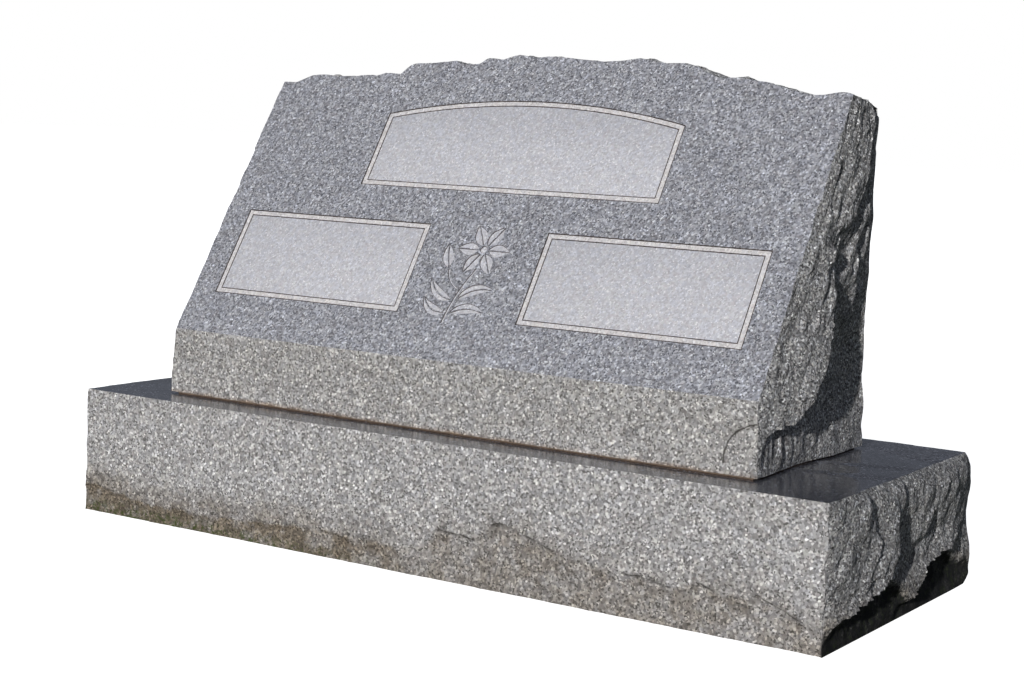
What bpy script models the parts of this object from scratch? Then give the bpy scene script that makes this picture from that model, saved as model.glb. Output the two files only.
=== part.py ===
"""Slant headstone: a crowned slant tablet bedded on its base stone. Metres, +Z up, front towards -Y.

The origin is the centre of the base stone's underside. The front faces, the base's top and the undersides
are sawn or polished planes. The ends, the backs and the tablet's top are rock pitched: broken away from
straight pitching lines, so they swell, step and scallop between them.
"""

import math

import bmesh
import bpy
import numpy as np
from mathutils import Matrix, Vector

# Base stone
BASE_LENGTH = 1.156
BASE_DEPTH = 0.452
BASE_HEIGHT = 0.1763

# Bed of setting compound between the two stones
BED_THICKNESS = 0.0024
BED_SETBACK = 0.004
CONTACT_GAP = 0.0003

# Slant tablet
TABLET_LENGTH = 0.914
TABLET_DEPTH = 0.315
TABLET_SHOULDER_HEIGHT = 0.4495
CROWN_RISE = 0.0450
NOSING_HEIGHT = 0.0912
SLANT_ANGLE = math.radians(57.8)
FRONT_LEDGE = 0.0586

# Panels sunk in the slant face: the band is a blasted outline round a frosted field
PANEL_SIDE_MARGIN = 0.0429
PANEL_LOWER_MARGIN = 0.0633
NAME_PANEL_HEIGHT = 0.1371
NAME_PANEL_SPACING = 0.187
PANEL_ROW_GAP = 0.0540
FAMILY_PANEL_WIDTH = 0.476
FAMILY_PANEL_TOP_MARGIN = 0.0497
FAMILY_ARCH_RISE = 0.0286
BAND_WIDTH = 0.009
BAND_DEPTH = 0.0020
FIELD_DEPTH = 0.0008

# Flower spray between the name panels: shares of its height below are measured from the middle of its foot
FLOWER_HEIGHT = 0.150
FLOWER_LOWER_MARGIN = 0.054
FLOWER_OFFSET = -0.0085
FLOWER_DEPTH = 0.0012
LINE_WIDTH = 0.0013
BLOOM_CENTRE = (0.09, 0.755)
BLOOM_RADIUS = 0.275
BLOOM_EYE = 0.035
PETAL_COUNT = 6
PETAL_WIDTH = 0.118
STEM_FOOT, STEM_BEND = (-0.06, 0.00), 0.03
TWIG_FOOT, TWIG_HEAD, TWIG_BEND = (-0.030, 0.350), (-0.193, 0.535), 0.03
STEM_WIDTH = 0.022
STEM_GAP = 0.0275
# Leaves and bud: foot, tip, half width, bend, all as shares
BLADES = (
    ((-0.075, 0.115), (-0.345, 0.245), 0.046, 0.05),
    ((-0.026, 0.105), (0.330, 0.130), 0.046, 0.05),
    ((-0.054, 0.240), (-0.340, 0.440), 0.044, 0.05),
    ((0.000, 0.250), (0.345, 0.365), 0.048, 0.05),
    ((-0.206, 0.552), (-0.290, 0.790), 0.052, 0.01),
)

# Rock pitching
PITCH_SWELL = 0.013
PITCH_RUN = 0.022
END_RUN = 0.045
CORNER_RUN = 0.010
CHIP_DEPTH = 0.0030
CHIP_RUN = 0.012
FLAKE_SIZE = 0.085
FLAKE_HEIGHT = 0.011
FOOT_RUN = 0.010
TURN_RUN = 0.022
TURN_REACH = 0.09
CALM = 0.35
FACET = 0.021

# Breaks along the tablet's top arris: share of the half length, then rise above the crown's arc
TOP_BREAKS = (
    (-1.00, -0.0020), (-0.94, -0.0075), (-0.89, -0.0002), (-0.79, -0.0101), (-0.63, -0.0178),
    (-0.54, -0.0190), (-0.50, -0.0040), (-0.35, -0.0045), (-0.315, -0.0117), (-0.255, -0.0113),
    (-0.235, -0.0027), (-0.125, 0.0028), (-0.06, -0.0035), (0.08, -0.0028), (0.18, -0.0052),
    (0.295, 0.0044), (0.455, 0.0042), (0.58, -0.0112), (0.73, -0.0050), (0.85, -0.0103),
    (0.955, 0.0038), (1.00, 0.0054),
)
TOP_FALL = 0.006
CORNER_FALL = 0.009
LEFT_FLARE = 0.0058
LEFT_FLARE_HEIGHT = 0.045
LEFT_FLARE_RUN = 0.06
UPPER_RUN = 0.06

# Ridges on the right-hand ends: line as (share of height, share of depth), heights by share of height,
# rise run, fall run, share of the height hollowed out behind
TABLET_END_CRESTS = (
    (
        ((0.00, 0.00), (0.105, 0.05), (0.122, 0.11), (0.126, 0.20), (0.158, 0.25), (0.187, 0.305),
         (0.250, 0.377), (0.343, 0.462), (0.397, 0.505), (0.56, 0.546), (0.614, 0.575), (0.70, 0.76),
         (0.84, 0.838), (1.10, 0.90)),
        ((0.00, 0.004), (0.10, 0.012), (0.13, 0.022), (0.20, 0.029), (0.31, 0.027), (0.40, 0.015),
         (0.52, 0.008), (0.67, 0.004), (0.75, 0.006), (1.00, 0.0)),
        0.115, 0.016, 0.75,
    ),
    (
        ((0.10, 0.92), (0.25, 0.88), (0.35, 0.815), (0.58, 0.806), (0.70, 0.88)),
        ((0.33, 0.0), (0.40, 0.004), (0.54, 0.004), (0.64, 0.002), (0.72, 0.0)),
        0.045, 0.012, 0.5,
    ),
)
TABLET_END_SETTLE = 0.004
TABLET_FOOT_RUN = 0.035
TABLET_FOOT_LINE = (
    (0.0, 0.003), (0.38, -0.003), (0.50, -0.002), (0.69, 0.0045), (0.82, 0.0035), (1.0, 0.001),
)
TABLET_BACK_LINE = (
    (0.0, 0.004), (0.06, 0.0016), (0.13, 0.0038), (0.20, -0.0016), (0.31, -0.0048), (0.45, -0.0022),
    (0.59, -0.0028), (0.67, -0.0002), (0.83, -0.0023), (0.93, -0.0013), (1.0, -0.013),
)
BASE_END_CRESTS = (
    (
        ((0.30, 0.17), (0.435, 0.215), (0.55, 0.250), (0.65, 0.272), (0.77, 0.245), (1.00, 0.23)),
        ((0.25, 0.0), (0.40, 0.0050), (0.60, 0.0050), (0.75, 0.0030), (1.00, 0.0)),
        0.050, 0.006, 0.4,
    ),
    (
        ((0.08, -0.08), (0.160, -0.02), (0.22, 0.090), (0.257, 0.135), (0.311, 0.250), (0.343, 0.298),
         (0.45, 0.348), (0.593, 0.395), (0.682, 0.385), (1.00, 0.41)),
        ((0.00, 0.003), (0.10, 0.009), (0.30, 0.012), (0.50, 0.012), (0.68, 0.006), (0.85, 0.001)),
        0.080, 0.011, 0.5,
    ),
    (
        ((0.05, 0.46), (0.148, 0.545), (0.232, 0.608), (0.295, 0.628), (0.333, 0.710), (0.364, 0.83),
         (0.50, 0.93), (0.72, 1.08)),
        ((0.00, 0.006), (0.20, 0.010), (0.40, 0.008), (0.60, 0.002), (0.75, 0.0)),
        0.080, 0.010, 0.3,
    ),
)
# Upper edge of the base end's undercut foot, as (share of depth, share of height)
BASE_UNDERCUT = (
    (0.00, 0.13), (0.05, 0.183), (0.15, 0.248), (0.27, 0.303), (0.36, 0.355), (0.40, 0.345),
    (0.46, 0.26), (0.525, 0.130), (0.593, 0.172), (0.631, 0.288), (0.691, 0.328), (0.835, 0.358),
    (0.92, 0.25), (1.03, 0.15),
)
BASE_UNDERCUT_DEPTH = 0.012
BASE_FOOT_REACH = 0.0045
BASE_BACK_REACH = 0.004
BASE_BACK_LINE = (
    (0.0, 0.0035), (0.07, 0.0068), (0.22, 0.0079), (0.295, 0.0065), (0.44, 0.0011), (0.56, -0.0007),
    (0.82, 0.0017), (0.90, 0.0013), (1.0, -0.004),
)
# The base's left-hand end is pitched a little short, drawn in over this run
LEFT_SHORT = 0.0075
LEFT_SHORT_RUN = 0.2

GRANITE_GREY = (0.30, 0.30, 0.31, 1.0)
TABLET_GREY = (0.27, 0.27, 0.29, 1.0)
COMPOUND_BROWN = (0.09, 0.06, 0.045, 1.0)
NEAR = 1e-6


def clear_scene():
    for old in list(bpy.data.objects):
        bpy.data.objects.remove(old)


def new_collection(name):
    made = bpy.data.collections.new(name)
    bpy.context.scene.collection.children.link(made)
    return made


def new_material(name, colour, roughness):
    made = bpy.data.materials.new(name)
    made.use_nodes = True
    shader = made.node_tree.nodes["Principled BSDF"]
    shader.inputs["Base Color"].default_value = colour
    shader.inputs["Roughness"].default_value = roughness
    made.diffuse_color = colour
    return made


def arc_rise(x, half_width, rise):
    """Height of a flat arc above its springing, at x from its middle."""
    radius = (half_width**2 + rise**2) / (2 * rise)
    return np.sqrt(np.maximum(radius**2 - np.square(x), 0.0)) - (radius - rise)


def flakes(u, w, size, seed, crisp=26.0):
    """Height, about -1 to 1, of a surface broken into tilted flakes of one size."""
    table = np.random.default_rng(seed).uniform(-1, 1, (64, 64, 5))
    a, b = u / size, w / size
    column, row = np.floor(a).astype(int), np.floor(b).astype(int)
    total, weight = np.zeros_like(a), np.zeros_like(a)
    for i in (-1, 0, 1):
        for j in (-1, 0, 1):
            drawn = table[(column + i) % 64, (row + j) % 64]
            from_u = a - (column + i + 0.5 + 0.42 * drawn[:, 0])
            from_w = b - (row + j + 0.5 + 0.42 * drawn[:, 1])
            share = np.exp(-crisp * (from_u**2 + from_w**2))
            total += share * (0.5 * drawn[:, 2] + drawn[:, 3] * from_u + drawn[:, 4] * from_w)
            weight += share
    return total / np.maximum(weight, 1e-12)


def smooth_step(x, low, high):
    """Share that rises smoothly from 0 at low to 1 at high."""
    t = np.clip((x - low) / (high - low), 0, 1)
    return t * t * (3 - 2 * t)


def along(points, share):
    """Value at a share, read off a line of (share, value) points."""
    return np.interp(share, *zip(*points))


def crest_relief(depth_share, height_share, depth, crests):
    """Sum of ridges that rise slowly from the front and fall sharply behind."""
    relief = np.zeros_like(depth_share)
    for line, heights, rise_run, fall_run, hollow in crests:
        past = (depth_share - along(line, height_share)) * depth
        before = np.clip(1 + past / rise_run, 0, 1)
        behind = 1 - (1 + hollow) * np.clip(past / fall_run, 0, 1)
        relief += along(heights, height_share) * np.where(past < 0, before, behind)
    return relief


def pitch(u, w, edges, seed, form=0.0, calm=1.0):
    """How far a rock-pitched face stands out from its plane.

    u and w run over the face, edges holds (distance to a pitching line, run in which the swell grows),
    form is large relief to add and calm the share of the large flakes' height that is left.
    """
    mask, nearest = np.ones_like(u), np.full_like(u, 1e3)
    for distance, run in edges:
        mask *= 1 - np.exp(-np.maximum(distance, 0) / run)
        nearest = np.minimum(nearest, distance)
    body = PITCH_SWELL + form + FLAKE_HEIGHT * calm * flakes(u, 0.6 * w, FLAKE_SIZE, seed)
    chips = CHIP_DEPTH * (0.6 + 0.6 * flakes(u, w, FLAKE_SIZE / 3, seed + 1))
    return mask * body - chips * np.exp(-np.square(nearest / CHIP_RUN))


def from_foot(relief, height, foot_line=0.0, run=FOOT_RUN):
    """Lets the relief grow from the straight foot, which stands out by foot_line."""
    return foot_line + (relief - foot_line) * (1 - np.exp(-height / run))


def settle(relief, depth_share, height_share, line, start):
    """Leads the relief of an end to the line of its back edge."""
    share = 0.92 * np.square(np.clip((depth_share - start) / (1 - start), 0, 1))
    return relief + (along(line, height_share) - relief) * share


def gridded_block(length, depth, height, height_rows):
    """A box standing on z = 0 with its front on y = 0, cut into facets over all its faces."""
    block = bmesh.new()
    bmesh.ops.create_cube(block, size=1.0)
    bmesh.ops.scale(block, vec=(length, depth, height), verts=block.verts)
    bmesh.ops.translate(block, vec=(0, depth / 2, height / 2), verts=block.verts)
    columns = np.linspace(-length / 2, length / 2, max(2, round(length / FACET)) + 1)[1:-1]
    layers = np.linspace(0, depth, max(2, round(depth / FACET * 0.8)) + 1)[1:-1]
    cuts = [((x, 0, 0), (1, 0, 0)) for x in columns]
    cuts += [((0, y, 0), (0, 1, 0)) for y in layers]
    cuts += [((0, 0, z), (0, 0, 1)) for z in height_rows]
    for point, normal in cuts:
        bmesh.ops.bisect_plane(
            block, geom=block.verts[:] + block.edges[:] + block.faces[:], plane_co=point, plane_no=normal
        )
    return block


def rows_between(low, high):
    """Levels of the facet rows from low to high, without the ends."""
    return list(np.linspace(low, high, max(2, round((high - low) / FACET)) + 1)[1:-1])


def places_of(block):
    return np.array([vert.co for vert in block.verts])


def move_to(block, places):
    for vert, place in zip(block.verts, places):
        vert.co = place


def merge_planes(block, planes):
    """Joins the facets of each flat face into one. planes is a list of (point, normal)."""
    for point, normal in planes:
        flat = [
            face
            for face in block.faces
            if all(abs((vert.co - Vector(point)).dot(Vector(normal))) < NEAR * 10 for vert in face.verts)
        ]
        if len(flat) > 1:
            bmesh.ops.dissolve_faces(block, faces=flat)


def finish_stone(name, block, collection, material, location):
    mesh = bpy.data.meshes.new(name)
    bmesh.ops.recalc_face_normals(block, faces=block.faces)
    block.to_mesh(mesh)
    block.free()
    mesh.materials.append(material)
    made = bpy.data.objects.new(name, mesh)
    made.location = location
    collection.objects.link(made)
    return made


def base_right_end(y, z):
    """Relief of the right-hand end: three leaning ridges above an undercut foot."""
    depth, height = BASE_DEPTH, BASE_HEIGHT
    below = along(BASE_UNDERCUT, y / depth) * height - z
    form = crest_relief(y / depth, z / height, depth, BASE_END_CRESTS)
    form = form - BASE_UNDERCUT_DEPTH * smooth_step(below, -0.004, 0.018)
    edges = [(y, END_RUN), (height - z, CORNER_RUN)]
    relief = pitch(y - 0.6 * z, z + 0.3 * y, edges, 11, form, CALM)
    relief = from_foot(relief, z, BASE_FOOT_REACH * y / depth)
    return settle(relief, y / depth, z / height, BASE_BACK_LINE, 0.86)


def base_left_end(y, z):
    edges = [(y, PITCH_RUN), (BASE_DEPTH - y, PITCH_RUN), (BASE_HEIGHT - z, CORNER_RUN)]
    return from_foot(pitch(y + 0.3 * z, z, edges, 23), z)


def base_back(x, z):
    edges = [(x + BASE_LENGTH / 2, CORNER_RUN), (BASE_HEIGHT - z, PITCH_RUN)]
    return from_foot(pitch(x + 0.3 * z, z, edges, 31), z, BASE_BACK_REACH)


def turning(distance, flat):
    """How much of a face's relief runs on round the corner, over the faces that meet there."""
    near = (distance < NEAR) | ((distance < TURN_REACH) & flat)
    return near * np.exp(-np.maximum(distance, 0) / TURN_RUN)


def build_base(collection, material):
    length, depth, height = BASE_LENGTH, BASE_DEPTH, BASE_HEIGHT
    block = gridded_block(length, depth, height, rows_between(0, height))
    rest = places_of(block)
    x, y, z = rest.T
    moved = rest.copy()
    right, left = x > length / 2 - NEAR, x < -length / 2 + NEAR
    back = y > depth - NEAR
    moved[:, 0] += base_right_end(y, z) * turning(length / 2 - x, back)
    moved[:, 0] -= np.where(left, base_left_end(y, z), 0)
    moved[:, 0] += LEFT_SHORT * np.clip(1 - (x + length / 2) / LEFT_SHORT_RUN, 0, 1)
    moved[:, 1] += base_back(x, z) * turning(depth - y, right)
    move_to(block, moved)
    merge_planes(
        block,
        [((0, 0, 0), (0, 0, 1)), ((0, 0, height), (0, 0, 1)), ((0, 0, 0), (0, 1, 0))],
    )
    return finish_stone("base_stone", block, collection, material, (0, -depth / 2, 0))


def slant_front(z):
    """How far back the front face lies at height z above the tablet's foot."""
    return np.maximum(z - NOSING_HEIGHT, 0) / math.tan(SLANT_ANGLE)


def tablet_shape(box_places):
    """Carries the points of a plain box to the crowned slant tablet."""
    x, y, z = box_places.T
    span = TABLET_SHOULDER_HEIGHT - NOSING_HEIGHT
    crown = arc_rise(x, TABLET_LENGTH / 2, CROWN_RISE)
    above = np.maximum(z - NOSING_HEIGHT, 0)
    height = z + above / span * crown
    front = slant_front(height)
    depth = front + y / TABLET_DEPTH * (TABLET_DEPTH - front)
    return np.column_stack([x, depth, height])


def tablet_right_end(y, z, from_slope, from_top):
    """Relief of the right-hand end: one tall ridge with a hollow behind, and a low one at the back."""
    depth, shoulder = TABLET_DEPTH, TABLET_SHOULDER_HEIGHT
    up_slope = z * math.sin(SLANT_ANGLE) + y * math.cos(SLANT_ANGLE)
    form = crest_relief(y / depth, z / shoulder, depth, TABLET_END_CRESTS) - TABLET_END_SETTLE
    edges = [(from_slope, END_RUN), (from_top, CORNER_RUN)]
    relief = pitch(from_slope, up_slope, edges, 41, form, CALM)
    relief = from_foot(relief, z, along(TABLET_FOOT_LINE, y / depth), TABLET_FOOT_RUN)
    return settle(relief, y / depth, z / shoulder, TABLET_BACK_LINE, 0.88)


def tablet_left_end(y, z, from_slope, from_top):
    edges = [(from_slope, PITCH_RUN), (TABLET_DEPTH - y, CORNER_RUN), (from_top, CORNER_RUN)]
    relief = from_foot(pitch(y - 0.5 * z, z, edges, 53), z)
    low = smooth_step(NOSING_HEIGHT - z, 0, LEFT_FLARE_HEIGHT)
    return relief + LEFT_FLARE * low * np.exp(-y / LEFT_FLARE_RUN)


def tablet_back(x, z, from_top):
    half = TABLET_LENGTH / 2
    edges = [(x + half, CORNER_RUN), (half - x, CORNER_RUN), (from_top, PITCH_RUN)]
    return from_foot(pitch(x + 0.3 * z, z, edges, 67), z)


def break_top(rest, top, from_top):
    """Shift of each corner that carries the breaks of the top arris over the top and down the faces."""
    x, y, z = rest.T
    across = x / (TABLET_LENGTH / 2)
    behind = np.clip((y - slant_front(z)) / (TABLET_DEPTH - slant_front(z)), 0, 1)
    breaks = along(TOP_BREAKS, across)
    fall = behind * (TOP_FALL + CORNER_FALL * smooth_step(across, 0.84, 1.0))
    upper = np.exp(-np.maximum(from_top, 0) / UPPER_RUN) * (z > NOSING_HEIGHT + NEAR)
    rough = 0.35 * FLAKE_HEIGHT * flakes(x, y, FLAKE_SIZE / 2, 79) * np.sin(math.pi * behind)
    rise = upper * (breaks * (1 - 0.15 * behind) * math.sin(SLANT_ANGLE) - fall) + np.where(top, rough, 0)
    setback = upper * breaks * (1 - behind) * math.cos(SLANT_ANGLE)
    return np.column_stack([np.zeros_like(x), setback, rise])


def build_tablet(collection, material):
    length, depth, shoulder = TABLET_LENGTH, TABLET_DEPTH, TABLET_SHOULDER_HEIGHT
    levels = rows_between(0, NOSING_HEIGHT) + [NOSING_HEIGHT] + rows_between(NOSING_HEIGHT, shoulder)
    block = gridded_block(length, depth, shoulder, levels)
    box = places_of(block)
    rest = tablet_shape(box)
    x, y, z = rest.T
    right, left = box[:, 0] > length / 2 - NEAR, box[:, 0] < -length / 2 + NEAR
    back, top = box[:, 1] > depth - NEAR, box[:, 2] > shoulder - NEAR
    from_slope = np.where(z > NOSING_HEIGHT, (y - slant_front(z)) * math.sin(SLANT_ANGLE), y)
    from_top = shoulder + arc_rise(x, length / 2, CROWN_RISE) - z
    moved = rest + break_top(rest, top, from_top)
    moved[:, 0] += np.where(right, tablet_right_end(y, z, from_slope, from_top), 0)
    moved[:, 0] -= np.where(left, tablet_left_end(y, z, from_slope, from_top), 0)
    moved[:, 1] += np.where(back, tablet_back(x, z, from_top), 0)
    move_to(block, moved)
    merge_planes(
        block,
        [
            ((0, 0, 0), (0, 0, 1)),
            ((0, 0, 0), (0, 1, 0)),
            ((0, 0, NOSING_HEIGHT), (0, -math.sin(SLANT_ANGLE), math.cos(SLANT_ANGLE))),
        ],
    )
    location = (0, FRONT_LEDGE - BASE_DEPTH / 2, BASE_HEIGHT + BED_THICKNESS + 2 * CONTACT_GAP)
    return finish_stone("slant_tablet", block, collection, material, location)


def build_bed(collection, material):
    """The thin bed of compound that the tablet is set on."""
    width, depth = TABLET_LENGTH - 2 * BED_SETBACK, TABLET_DEPTH - 2 * BED_SETBACK
    bed = bmesh.new()
    bmesh.ops.create_cube(bed, size=1.0)
    bmesh.ops.scale(bed, vec=(width, depth, BED_THICKNESS), verts=bed.verts)
    centre_y = FRONT_LEDGE + TABLET_DEPTH / 2 - BASE_DEPTH / 2
    centre_z = BASE_HEIGHT + CONTACT_GAP + BED_THICKNESS / 2
    return finish_stone("setting_bed", bed, collection, material, (0, centre_y, centre_z))


def slant_matrix(tablet, lift):
    """Places a flat outline on the slant face: x along it, y up it from the nosing, raised by lift."""
    foot = Vector(tablet.location) + Vector((0, 0, NOSING_HEIGHT))
    turned = Matrix.Rotation(SLANT_ANGLE, 4, "X")
    return Matrix.Translation(foot) @ turned @ Matrix.Translation((0, 0, lift))


def outline_cutter(name, outlines, depth, tablet, collection):
    """A solid that sinks closed outlines in the slant face. An outline inside another is an island."""
    reach = 0.01
    curve = bpy.data.curves.new(name, "CURVE")
    curve.dimensions = "2D"
    curve.fill_mode = "BOTH"
    curve.extrude = (depth + reach) / 2
    for points in outlines:
        spline = curve.splines.new("POLY")
        spline.points.add(len(points) - 1)
        for knot, (x, y) in zip(spline.points, points):
            knot.co = (x, y, 0, 1)
        spline.use_cyclic_u = True
    flat = bpy.data.objects.new(name + "_outline", curve)
    collection.objects.link(flat)
    flat.matrix_world = slant_matrix(tablet, (reach - depth) / 2)
    bpy.context.view_layer.update()
    graph = bpy.context.evaluated_depsgraph_get()
    mesh = bpy.data.meshes.new_from_object(flat.evaluated_get(graph))
    shape = bmesh.new()
    shape.from_mesh(mesh)
    bmesh.ops.remove_doubles(shape, verts=shape.verts, dist=1e-6)
    bmesh.ops.recalc_face_normals(shape, faces=shape.faces)
    shape.to_mesh(mesh)
    shape.free()
    cutter = bpy.data.objects.new(name, mesh)
    cutter.matrix_world = flat.matrix_world
    cutter.hide_render = True
    cutter.display_type = "WIRE"
    collection.objects.link(cutter)
    bpy.data.objects.remove(flat)
    return cutter


def sink(tablet, cutter):
    cut = tablet.modifiers.new(cutter.name, "BOOLEAN")
    cut.operation = "DIFFERENCE"
    cut.object = cutter


def panel_outline(left, right, low, high, arch, inset):
    """Corners of a panel, anticlockwise, with a flat arch along its top where arch isn't 0."""
    left, right, low = left + inset, right - inset, low + inset
    if not arch:
        return [(left, low), (right, low), (right, high - inset), (left, high - inset)]
    steps = 24
    middle, outer_half = (left + right) / 2, (right - left) / 2 + inset
    along = [right - (right - left) * step / steps for step in range(steps + 1)]
    crown = [(x, high - inset + float(arc_rise(x - middle, outer_half, arch))) for x in along]
    return [(left, low), (right, low)] + crown


def panels():
    """(name, left, right, low, high, arch) of each panel on the slant face."""
    outer, inner = TABLET_LENGTH / 2 - PANEL_SIDE_MARGIN, NAME_PANEL_SPACING / 2
    low, high = PANEL_LOWER_MARGIN, PANEL_LOWER_MARGIN + NAME_PANEL_HEIGHT
    face_height = (TABLET_SHOULDER_HEIGHT - NOSING_HEIGHT) / math.sin(SLANT_ANGLE)
    return (
        ("name_panel_left", -outer, -inner, low, high, 0),
        ("name_panel_right", inner, outer, low, high, 0),
        (
            "family_panel",
            -FAMILY_PANEL_WIDTH / 2,
            FAMILY_PANEL_WIDTH / 2,
            high + PANEL_ROW_GAP,
            face_height - FAMILY_PANEL_TOP_MARGIN,
            FAMILY_ARCH_RISE,
        ),
    )


def carve_panels(tablet, collection):
    for name, left, right, low, high, arch in panels():
        outside = panel_outline(left, right, low, high, arch, 0)
        inside = panel_outline(left, right, low, high, arch, BAND_WIDTH)
        sink(tablet, outline_cutter(name + "_band", [outside, inside], BAND_DEPTH, tablet, collection))
        middle = panel_outline(left, right, low, high, arch, BAND_WIDTH / 2)
        sink(tablet, outline_cutter(name + "_field", [middle], FIELD_DEPTH, tablet, collection))


def bent_line(start, end, bend, share):
    """Point, in metres on the slant face, and unit normal at a share of the way along a bowed line."""
    run = Vector(end) - Vector(start)
    across = Vector((-run.y, run.x)).normalized()
    point = Vector(start) + run * share + across * (4 * bend * share * (1 - share))
    slope = (run + across * (4 * bend * (1 - 2 * share))).normalized()
    return point * FLOWER_HEIGHT, Vector((-slope.y, slope.x))


def half_blade(start, end, half_width, bend, side, steps=7):
    """Outline of one half of a leaf or petal, kept clear of its midrib by half a line."""
    rib, edge = [], []
    for step in range(steps + 1):
        share = step / steps
        point, across = bent_line(start, end, bend, share)
        swell = math.sin(math.pi * share**0.85)
        if bend or step in (0, steps):
            rib.append(point + across * side * LINE_WIDTH / 2)
        edge.append(point + across * side * (LINE_WIDTH / 2 + swell * half_width * FLOWER_HEIGHT))
    return [tuple(point) for point in rib + edge[-2:0:-1]]


def strip(start, end, bend, width, steps=6):
    """Outline of a stem."""
    ends = [bent_line(start, end, bend, step / steps) for step in range(steps + 1)]
    near = [point + across * width * FLOWER_HEIGHT / 2 for point, across in ends]
    far = [point - across * width * FLOWER_HEIGHT / 2 for point, across in ends]
    return [tuple(point) for point in near + far[::-1]]


def bloom_outlines():
    """Outlines of the bloom's eye and of both halves of its petals."""
    centre = Vector(BLOOM_CENTRE)
    eye = [
        tuple((centre + BLOOM_EYE * Vector((math.cos(turn), math.sin(turn)))) * FLOWER_HEIGHT)
        for turn in np.linspace(0, 2 * math.pi, 12, endpoint=False)
    ]
    outlines = [eye]
    for petal in range(PETAL_COUNT):
        turn = petal * 2 * math.pi / PETAL_COUNT
        outward = Vector((math.cos(turn), math.sin(turn)))
        start = centre + outward * (BLOOM_EYE + 1.5 * LINE_WIDTH / FLOWER_HEIGHT)
        tip = centre + outward * BLOOM_RADIUS
        outlines += [half_blade(start, tip, PETAL_WIDTH / 2, 0.0, side) for side in (-1, 1)]
    return outlines


def stem_head():
    """Head of the stem, STEM_GAP clear of the two petals on either side of it."""
    step = 2 * math.pi / PETAL_COUNT
    turn = step * (math.floor(0.75 * PETAL_COUNT) + 0.5)
    reach = ((PETAL_WIDTH + STEM_WIDTH) / 2 + STEM_GAP) / math.sin(step / 2)
    return tuple(Vector(BLOOM_CENTRE) + reach * Vector((math.cos(turn), math.sin(turn))))


def carve_flower(tablet, collection):
    outlines = bloom_outlines()
    outlines.append(strip(STEM_FOOT, stem_head(), STEM_BEND, STEM_WIDTH))
    outlines.append(strip(TWIG_FOOT, TWIG_HEAD, TWIG_BEND, STEM_WIDTH * 0.8))
    for start, tip, half_width, bend in BLADES:
        outlines += [half_blade(start, tip, half_width, bend, side) for side in (-1, 1)]
    placed = [[(x + FLOWER_OFFSET, y + FLOWER_LOWER_MARGIN) for x, y in points] for points in outlines]
    sink(tablet, outline_cutter("flower", placed, FLOWER_DEPTH, tablet, collection))


def build():
    clear_scene()
    stones = new_collection("slant_headstone")
    cutters = new_collection("cutters")
    base_granite = new_material("base_granite", GRANITE_GREY, 0.55)
    tablet_granite = new_material("tablet_granite", TABLET_GREY, 0.35)
    compound = new_material("setting_compound", COMPOUND_BROWN, 0.8)
    build_base(stones, base_granite)
    build_bed(stones, compound)
    tablet = build_tablet(stones, tablet_granite)
    carve_panels(tablet, cutters)
    carve_flower(tablet, cutters)


build()
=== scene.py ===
"""Slant headstone on its base stone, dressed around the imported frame.

Metres, +Z up, front towards -Y, origin at the middle of the base's underside. Each stone is modelled from a
box: gridded, carried to its section and then rock pitched, so that the flat faces stay true between their
arrises. The panels and the flower are carved in the slant face with insets.
"""

import logging
import math
from dataclasses import dataclass, field, replace
from enum import Enum
from typing import Callable, Optional, Sequence

import bmesh
import bpy
import numpy as np
from mathutils import Matrix, Vector


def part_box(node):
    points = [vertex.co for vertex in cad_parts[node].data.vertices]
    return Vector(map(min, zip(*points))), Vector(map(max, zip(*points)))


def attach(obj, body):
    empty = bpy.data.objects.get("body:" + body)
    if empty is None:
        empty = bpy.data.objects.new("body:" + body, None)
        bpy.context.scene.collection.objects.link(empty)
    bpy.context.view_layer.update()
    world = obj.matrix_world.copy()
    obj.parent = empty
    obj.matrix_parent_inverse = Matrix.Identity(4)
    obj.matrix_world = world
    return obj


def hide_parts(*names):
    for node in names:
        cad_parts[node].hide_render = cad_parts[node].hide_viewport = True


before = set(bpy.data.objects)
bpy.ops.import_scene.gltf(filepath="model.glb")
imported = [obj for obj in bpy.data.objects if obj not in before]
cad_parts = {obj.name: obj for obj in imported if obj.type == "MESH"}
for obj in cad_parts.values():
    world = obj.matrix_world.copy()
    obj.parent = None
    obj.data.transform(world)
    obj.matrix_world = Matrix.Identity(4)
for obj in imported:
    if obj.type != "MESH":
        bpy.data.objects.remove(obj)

log = logging.getLogger("headstone")

NEAR = 1e-6
Outline = list[tuple[float, float]]
Line = tuple[tuple[float, float], ...]
Colour = tuple[float, float, float]


class Surface(Enum):
    """Finishes of the tablet, in the order of its material slots."""

    POLISHED = 0
    STEELED = 1
    PITCHED = 2
    FROSTED = 3
    BLASTED = 4
    INCISED = 5
    UNDERSIDE = 6


class BaseSurface(Enum):
    """Finishes of the base, in the order of its material slots."""

    STEELED = 0
    POLISHED = 1
    PITCHED = 2
    UNDERSIDE = 3


@dataclass(frozen=True)
class Sizes:
    """Driving dimensions, the same as those of the solids."""

    base_length: float = 1.156
    base_depth: float = 0.452
    base_height: float = 0.1763
    bed_thickness: float = 0.0024
    bed_setback: float = 0.004
    contact_gap: float = 0.0003
    tablet_length: float = 0.914
    tablet_depth: float = 0.315
    shoulder: float = 0.4495
    crown_rise: float = 0.0450
    nosing: float = 0.0912
    slant: float = math.radians(57.8)
    front_ledge: float = 0.0586

    @property
    def base_front(self) -> float:
        """Y of the base's front face."""
        return -self.base_depth / 2

    @property
    def tablet_front(self) -> float:
        """Y of the nosing."""
        return self.base_front + self.front_ledge

    @property
    def tablet_foot(self) -> float:
        """Z of the tablet's underside."""
        return self.base_height + self.bed_thickness + 2 * self.contact_gap

    @property
    def face_height(self) -> float:
        """Height of the slant face at its ends, measured up the slope."""
        return (self.shoulder - self.nosing) / math.sin(self.slant)


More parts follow.
